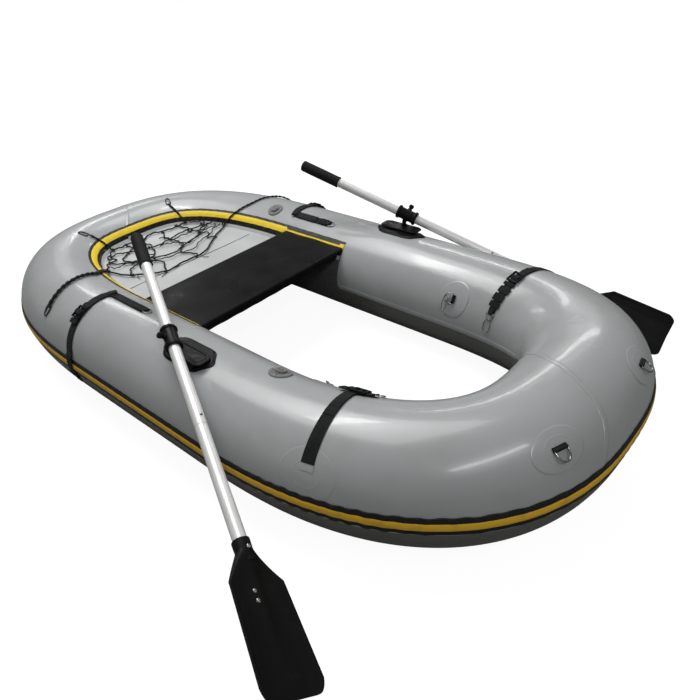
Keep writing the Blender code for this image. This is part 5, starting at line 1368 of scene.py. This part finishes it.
def oarlock_block(name, side, block_x, lock_x):
    """The moulded block: a body that stands on the pad, a superellipse in plan and in section,
    with a barrel along it, the wing bar on top with sunk ends, and a boss round the post."""
    end = 0.998 * end_shares(48)
    wide = (1 - np.abs(end) ** 8)[:, None] ** (1 / 8)
    turn = full_turn(64)
    c, d = signed_power(np.cos(turn), 0.30), signed_power(np.sin(turn), 0.30)
    y = BLOCK_Y + 0.0250 * wide * c
    low = TUBE_RADIUS + np.sqrt((TUBE_RADIUS + 0.0046) ** 2 - (y - HALF_RUN_Y) ** 2)
    z = low + (LOCK_TOP - 0.0046 - low) * (0.5 + 0.5 * d * np.maximum(wide, 0.3) ** 0.5)
    x = np.broadcast_to((block_x + 0.052 * end)[:, None], y.shape)
    skins = [skin(np.stack([x, side * y, z], -1), cap=True)]
    wing = eased([(-0.075, -0.017), (-0.060, -0.025), (0.060, -0.025), (0.075, -0.017), (0.075, 0.017),
                  (0.060, 0.025), (-0.060, 0.025), (-0.075, 0.017)], 0.006, 5, closed=True)
    shares = np.array([0.0, 0.955, 0.985, 1.0, 1.0, 0.985, 0.955, 0.88, 0.84, 0.0])
    heights = np.array([-5.5, -5.5, -5.0, -4.2, -1.3, -0.4, 0.0, 0.0, -1.2, -1.2]) / 1000
    spread = shares[:, None, None] * wing
    ring = np.stack([block_x + spread[..., 0], side * (BLOCK_Y + spread[..., 1]),
                     np.broadcast_to((LOCK_TOP + heights)[:, None], (10, len(wing)))], -1)
    skins.append(skin(ring))
    barrel = eased([(-0.050, 0.0), (-0.050, 0.0115), (-0.030, 0.0125), (0.030, 0.0125),
                    (0.050, 0.0115), (0.050, 0.0)], 0.003, 5)
    skins.append(turned(barrel, 40, np.array([block_x, side * (BLOCK_Y + 0.016), LOCK_TOP - 0.0145]),
                        X_WAY, UP))
    boss = eased([(-0.006, 0.0), (-0.006, 0.0150), (-0.0004, 0.0135), (0.0, 0.0)], 0.0008, 3)
    skins.append(turned(boss, 40, np.array([lock_x, side * LOCK_Y, LOCK_TOP]), UP, X_WAY))
    for way in (-1, 1):
        spot = np.array([block_x + way * 0.055, side * (BLOCK_Y - 0.002), LOCK_TOP - 0.0011])
        skins.append(bar_block(spot, X_WAY, Y_WAY, UP, (0.016, 0.030, 0.0018), 0.3))
    piece(f"{name}_block_body", skins, BLACK, "hull", [f"{name}_block"])


class Oar:
    """One side's oarlock and oar, in their own axes at rest: the oar along x from its grip's end,
    and the pin at the origin."""

    def __init__(self, side_name, side, lock_x, swing, dip, inboard):
        self.side_name, self.side = side_name, side
        self.end = -inboard * OAR_LENGTH
        turn = Matrix.Translation((lock_x, side * LOCK_Y, LOCK_TOP)) @ Matrix.Rotation(
            side * math.radians(swing), 4, "Z")
        self.swivel = np.array(turn)
        self.tilt = np.array(turn @ Matrix.Translation((0, 0, 0.0095))
                             @ Matrix.Rotation(math.radians(dip), 4, "Y"))

    def piece(self, name, skins, look, body, nodes, slot, sharp=40):
        """One piece of this side from skins in these axes. Its tilt turns all but the swivel."""
        matrix = self.swivel if body == "swivel" else self.tilt
        placed = [(points @ matrix[:3, :3].T + matrix[:3, 3], faces, uv) for points, faces, uv in skins]
        piece(f"{self.side_name}_{name}", placed, look, f"{self.side_name}_{body}",
              [f"{self.side_name}_{node}" for node in nodes], sharp)


def round_oar(profile, sides, wrap=False):
    """A skin turned about the oar's own line."""
    return turned(profile, sides, OAR_CENTRE, X_WAY, Y_WAY, wrap)


def plate_on_edge(outline, low, high):
    """A plate with soft edges between two y, from its outline in x and z."""
    outline = np.asarray(outline)
    middle = outline.mean(0)
    shares = np.array([0.0, 0.90, 0.97, 1.0, 1.0, 0.97, 0.90, 0.0])
    depth = np.array([0.0, 0.0, 0.12, 0.3, 0.7, 0.88, 1.0, 1.0])
    xz = middle + shares[:, None, None] * (outline - middle)
    y = np.broadcast_to((low + (high - low) * depth)[:, None], xz.shape[:2])
    return skin(np.stack([xz[..., 0], y, xz[..., 1]], -1))


def oarlock(oar):
    """The post with its eye, the sleeve that grips the oar, and its thumb screw."""
    post = eased([(-0.009, 0.0), (-0.009, 0.005), (0.0003, 0.005), (0.0003, 0.0105),
                  (0.0028, 0.0098), (0.0034, 0.0)], 0.0007, 3)
    turn = np.linspace(0, math.pi, 20)
    eye = np.vstack([np.stack([0.0056 * np.cos(turn), 0.0095 + 0.0056 * np.sin(turn)], -1),
                     [[-0.0066, 0.0014], [0.0066, 0.0014]]])
    skins = [turned(post, 40, np.zeros(3), UP, X_WAY), plate_on_edge(eye, -0.0035, 0.0035)]
    oar.piece("post", skins, BLACK, "swivel", ["oarlock_post"], "black_plastic")

    wall, rim = 0.0193, 0.0218
    half = [(-0.035, BORE_RADIUS), (-0.035, rim), (-0.0262, rim + 0.0004), (-0.0240, wall),
            (-0.006, wall - 0.0004)]
    sleeve = eased(half + [(-x, r) for x, r in half[::-1]], 0.0013, 4)
    skins = [round_oar(sleeve, 72, True)]
    turn = np.linspace(math.pi, math.tau, 20)
    ear = np.vstack([np.stack([0.0056 * np.cos(turn), 0.0056 * np.sin(turn)], -1),
                     [[0.0080, 0.0080], [0.0080, 0.0125], [-0.0080, 0.0125], [-0.0080, 0.0080]]])
    ear = eased(ear, 0.0015, 3, closed=True)
    skins += [plate_on_edge(ear, 0.0038, 0.0083), plate_on_edge(ear, -0.0083, -0.0038)]
    pin = eased([(-0.0094, 0.0), (-0.0094, 0.0040), (-0.0080, 0.0040), (-0.0080, 0.0028),
                 (0.0080, 0.0028), (0.0080, 0.0040), (0.0094, 0.0040), (0.0094, 0.0)], 0.0005, 2)
    skins.append(turned(pin, 28, np.zeros(3), Y_WAY, X_WAY))
    angle = math.radians(42)
    screw_way = math.cos(angle) * oar.side * Y_WAY + math.sin(angle) * UP
    boss = eased([(0.0160, 0.0035), (0.0160, 0.0085), (0.0245, 0.0070), (0.0245, 0.0035)], 0.0008, 3)
    skins.append(turned(boss, 32, OAR_CENTRE, screw_way, X_WAY, wrap=True))
    for at in (-0.0295, 0.0295):
        grip_ring = eased([(at - 0.0030, rim - 0.001), (at - 0.0022, rim + 0.0011),
                           (at + 0.0022, rim + 0.0011), (at + 0.0030, rim - 0.001)], 0.0008, 3)
        skins.append(round_oar(grip_ring, 72, True))
    oar.piece("oar_sleeve", skins, BLACK, "clamp", ["oar_clamp"], "black_plastic")

    start = 0.0278
    knob = eased([(BORE_RADIUS, 0.0), (BORE_RADIUS, 0.0030), (start, 0.0030), (start, 0.0062),
                  (start + 0.0015, 0.0083), (start + 0.0092, 0.0083), (start + 0.0110, 0.0066),
                  (start + 0.0110, 0.0)], 0.0009, 3)
    skins = [turned(knob, 72, OAR_CENTRE, screw_way, X_WAY, lobes=9, depth=0.03)]
    oar.piece("thumb_knob", skins, BLACK, "screw", ["thumb_screw"], "black_plastic")


def oar_grip(oar):
    """The grip: a foam sleeve with shallow ribs, a rounded end and a rolled mouth."""
    end = oar.end
    run = np.linspace(0.012, GRIP_LENGTH - 0.010, 160)
    swell = 0.0004 * np.sin((run - 0.012) / 0.123 * math.pi) - 0.0003
    ribs = 0.00028 * np.sin(run / 0.0055 * math.tau)
    body = np.stack([end + run, NECK_RADIUS + swell + ribs], -1)
    cap = eased([(end, 0.0), (end, 0.0150), (end + 0.0045, 0.0187), (end + 0.012, 0.0182)], 0.0022, 5)
    mouth = eased([(end + GRIP_LENGTH - 0.009, 0.0182), (end + GRIP_LENGTH - 0.0075, 0.0190),
                   (end + GRIP_LENGTH - 0.001, 0.0190), (end + GRIP_LENGTH, BORE_RADIUS),
                   (end + 0.006, BORE_RADIUS), (end + 0.006, 0.0)], 0.0009, 3)
    skins = [round_oar(np.vstack([cap, body, mouth]), 64)]
    oar.piece("grip_sleeve", skins, RUBBER, "oar", ["oar_grip"], "grip_rubber")


def oar_shafts(oar):
    """Upper and lower shaft: drawn tubes with a rolled end at their joint, the lower one
    stepping down into the upper."""
    end = oar.end
    joint = end + JOINT_RUN
    mouth = end + OAR_LENGTH - BLADE_LENGTH
    upper = [(end + 0.0063, 0.0135)]
    upper += [(x, SHAFT_RADIUS) for x in np.linspace(end + 0.0063, joint - 0.0016, 60)]
    upper += [(joint - 0.0010, SHAFT_RADIUS - 0.0001), (joint, SHAFT_RADIUS - 0.0008), (joint, 0.0135)]
    lower = [(joint - 0.060, 0.0117), (joint - 0.060, 0.0132), (joint + 0.0003, 0.0132),
             (joint + 0.0003, SHAFT_RADIUS - 0.0008), (joint + 0.0014, SHAFT_RADIUS - 0.0001)]
    lower += [(x, SHAFT_RADIUS) for x in np.linspace(joint + 0.002, mouth + 0.0475, 50)]
    lower.append((mouth + 0.0475, 0.0117))
    for part, profile in (("upper", upper), ("lower", lower)):
        oar.piece(f"{part}_tube", [round_oar(profile, 56, True)], TUBE_LOOK, "oar",
                  [f"oar_{part}_shaft"], "oar_aluminium")


def oar_button(oar):
    """The spring button, a small dome that stands out of its hole."""
    angle = math.radians(30)
    way = math.cos(angle) * UP - math.sin(angle) * oar.side * Y_WAY
    place = OAR_CENTRE + X_WAY * (oar.end + JOINT_RUN - 0.026)
    turn = np.linspace(0, math.pi / 2, 9)
    dome = np.stack([0.0156 + 0.0020 * np.sin(turn), 0.0038 * np.cos(turn)], -1)
    profile = np.vstack([[(0.0062, 0.0), (0.0062, 0.0038)], dome])
    skins = [turned(profile, 28, place, way, X_WAY)]
    oar.piece("button_dome", skins, STEEL, "button", ["oar_button"], "ring_steel")


def blade_half_width(share):
    """Half the blade's width: the neck, a straight flare to the shoulders, a slow widening
    and a quarter of an ellipse at the corners."""
    flare = NECK_RADIUS + (SHOULDER_HALF - NECK_RADIUS) * np.clip((share - 0.08) / 0.22, 0, 1)
    widening = SHOULDER_HALF + (TIP_HALF - SHOULDER_HALF) * np.clip((share - 0.30) / 0.70, 0, 1)
    wide = np.where(share < 0.30, flare, widening)
    t = np.clip((share - 0.92) / 0.08, 0, 1)
    return wide - TIP_HALF * 0.25 * (0.35 * t + 0.65 * (1 - np.sqrt(np.maximum(1 - t * t, 0))))


def oar_blade(oar, roll):
    """The blade: a socket that flattens into a scooped plate, with a ridge down its middle,
    a thicker rim, two shallow channels and the heads of three rivets."""
    mouth = oar.end + OAR_LENGTH - BLADE_LENGTH
    width_way = math.cos(roll) * oar.side * Y_WAY + math.sin(roll) * UP
    face_way = np.cross(X_WAY, width_way)
    face_way = face_way if face_way[2] > 0 else -face_way
    share = np.unique(np.concatenate([np.linspace(0, 0.3, 34), np.linspace(0.3, 0.92, 32),
                                      1 - 0.08 * np.linspace(1, 0, 18) ** 2]))
    wide = blade_half_width(share)[:, None]
    blend = np.clip(share / 0.34, 0, 1)
    ease = smooth_step(blend)[:, None]
    thin = NECK_RADIUS + (0.003 - NECK_RADIUS) * ease
    turn = full_turn(112)[None]
    c, d = np.cos(turn), np.sin(turn)
    y = wide * c
    z = thin * signed_power(d, 1 - 0.62 * ease)
    z = z + 0.0055 * ease * (1 - share[:, None]) * d * np.exp(-(y / 0.013) ** 2)
    z = z + 0.0009 * ease * np.sign(d) * np.exp(-((np.abs(y) - wide + 0.005) / 0.003) ** 2)
    z = z - 0.0006 * ease * np.sign(d) * np.exp(-((np.abs(y) - wide * 0.5) / 0.010) ** 2)
    z = z + 0.010 * ease * (y / TIP_HALF) ** 2
    run = np.broadcast_to((mouth + share * BLADE_LENGTH)[:, None], y.shape)
    outer = OAR_CENTRE + run[..., None] * X_WAY + y[..., None] * width_way + z[..., None] * face_way
    bore = BORE_RADIUS * (c[..., None] * width_way + d[..., None] * face_way)
    inner = [OAR_CENTRE + X_WAY * (mouth + deep) + bore[0] for deep in (0.048, 0.001)]
    skins = [skin(np.concatenate([np.stack(inner), outer]), cap=True)]
    head = eased([(0.0, 0.0046), (0.0016, 0.0044), (0.0022, 0.0)], 0.0006, 3)
    for at, off in ((0.070, 0.0), (0.355, 0.010), (0.420, 0.009)):
        near = int(np.argmin(np.abs(share - at)))
        face = y[near][:56][::-1], z[near][:56][::-1]
        top = z[near].max() if at < 0.1 else float(np.interp(off, *face))
        spot = OAR_CENTRE + X_WAY * (mouth + at * BLADE_LENGTH) + width_way * off
        skins.append(turned(head, 24, spot + face_way * (top - 0.0006), face_way, X_WAY))
    oar.piece("blade_plate", skins[:1], BLADE_LOOK, "oar", ["oar_blade"], "black_plastic", sharp=60)
    oar.piece("blade_rivets", skins[1:], RIVET_STEEL, "oar", [], "ring_steel")


for side_name, side, block_x, lock_x, swing, dip, inboard, roll in (
        ("starboard", -1, 0.137, 0.104, 26.0, 13.5, 0.3390, 40),
        ("port", 1, 0.119, 0.1225, 18.0, 20.8, 0.3050, 46)):
    oarlock_pad(f"{side_name}_oarlock", side)
    oarlock_block(f"{side_name}_oarlock", side, block_x, lock_x)
    oar = Oar(side_name, side, lock_x, swing, dip, inboard)
    oarlock(oar)
    oar_grip(oar)
    oar_shafts(oar)
    oar_button(oar)
    oar_blade(oar, math.radians(roll))


# View settings

bpy.context.scene.view_settings.view_transform = "Standard"
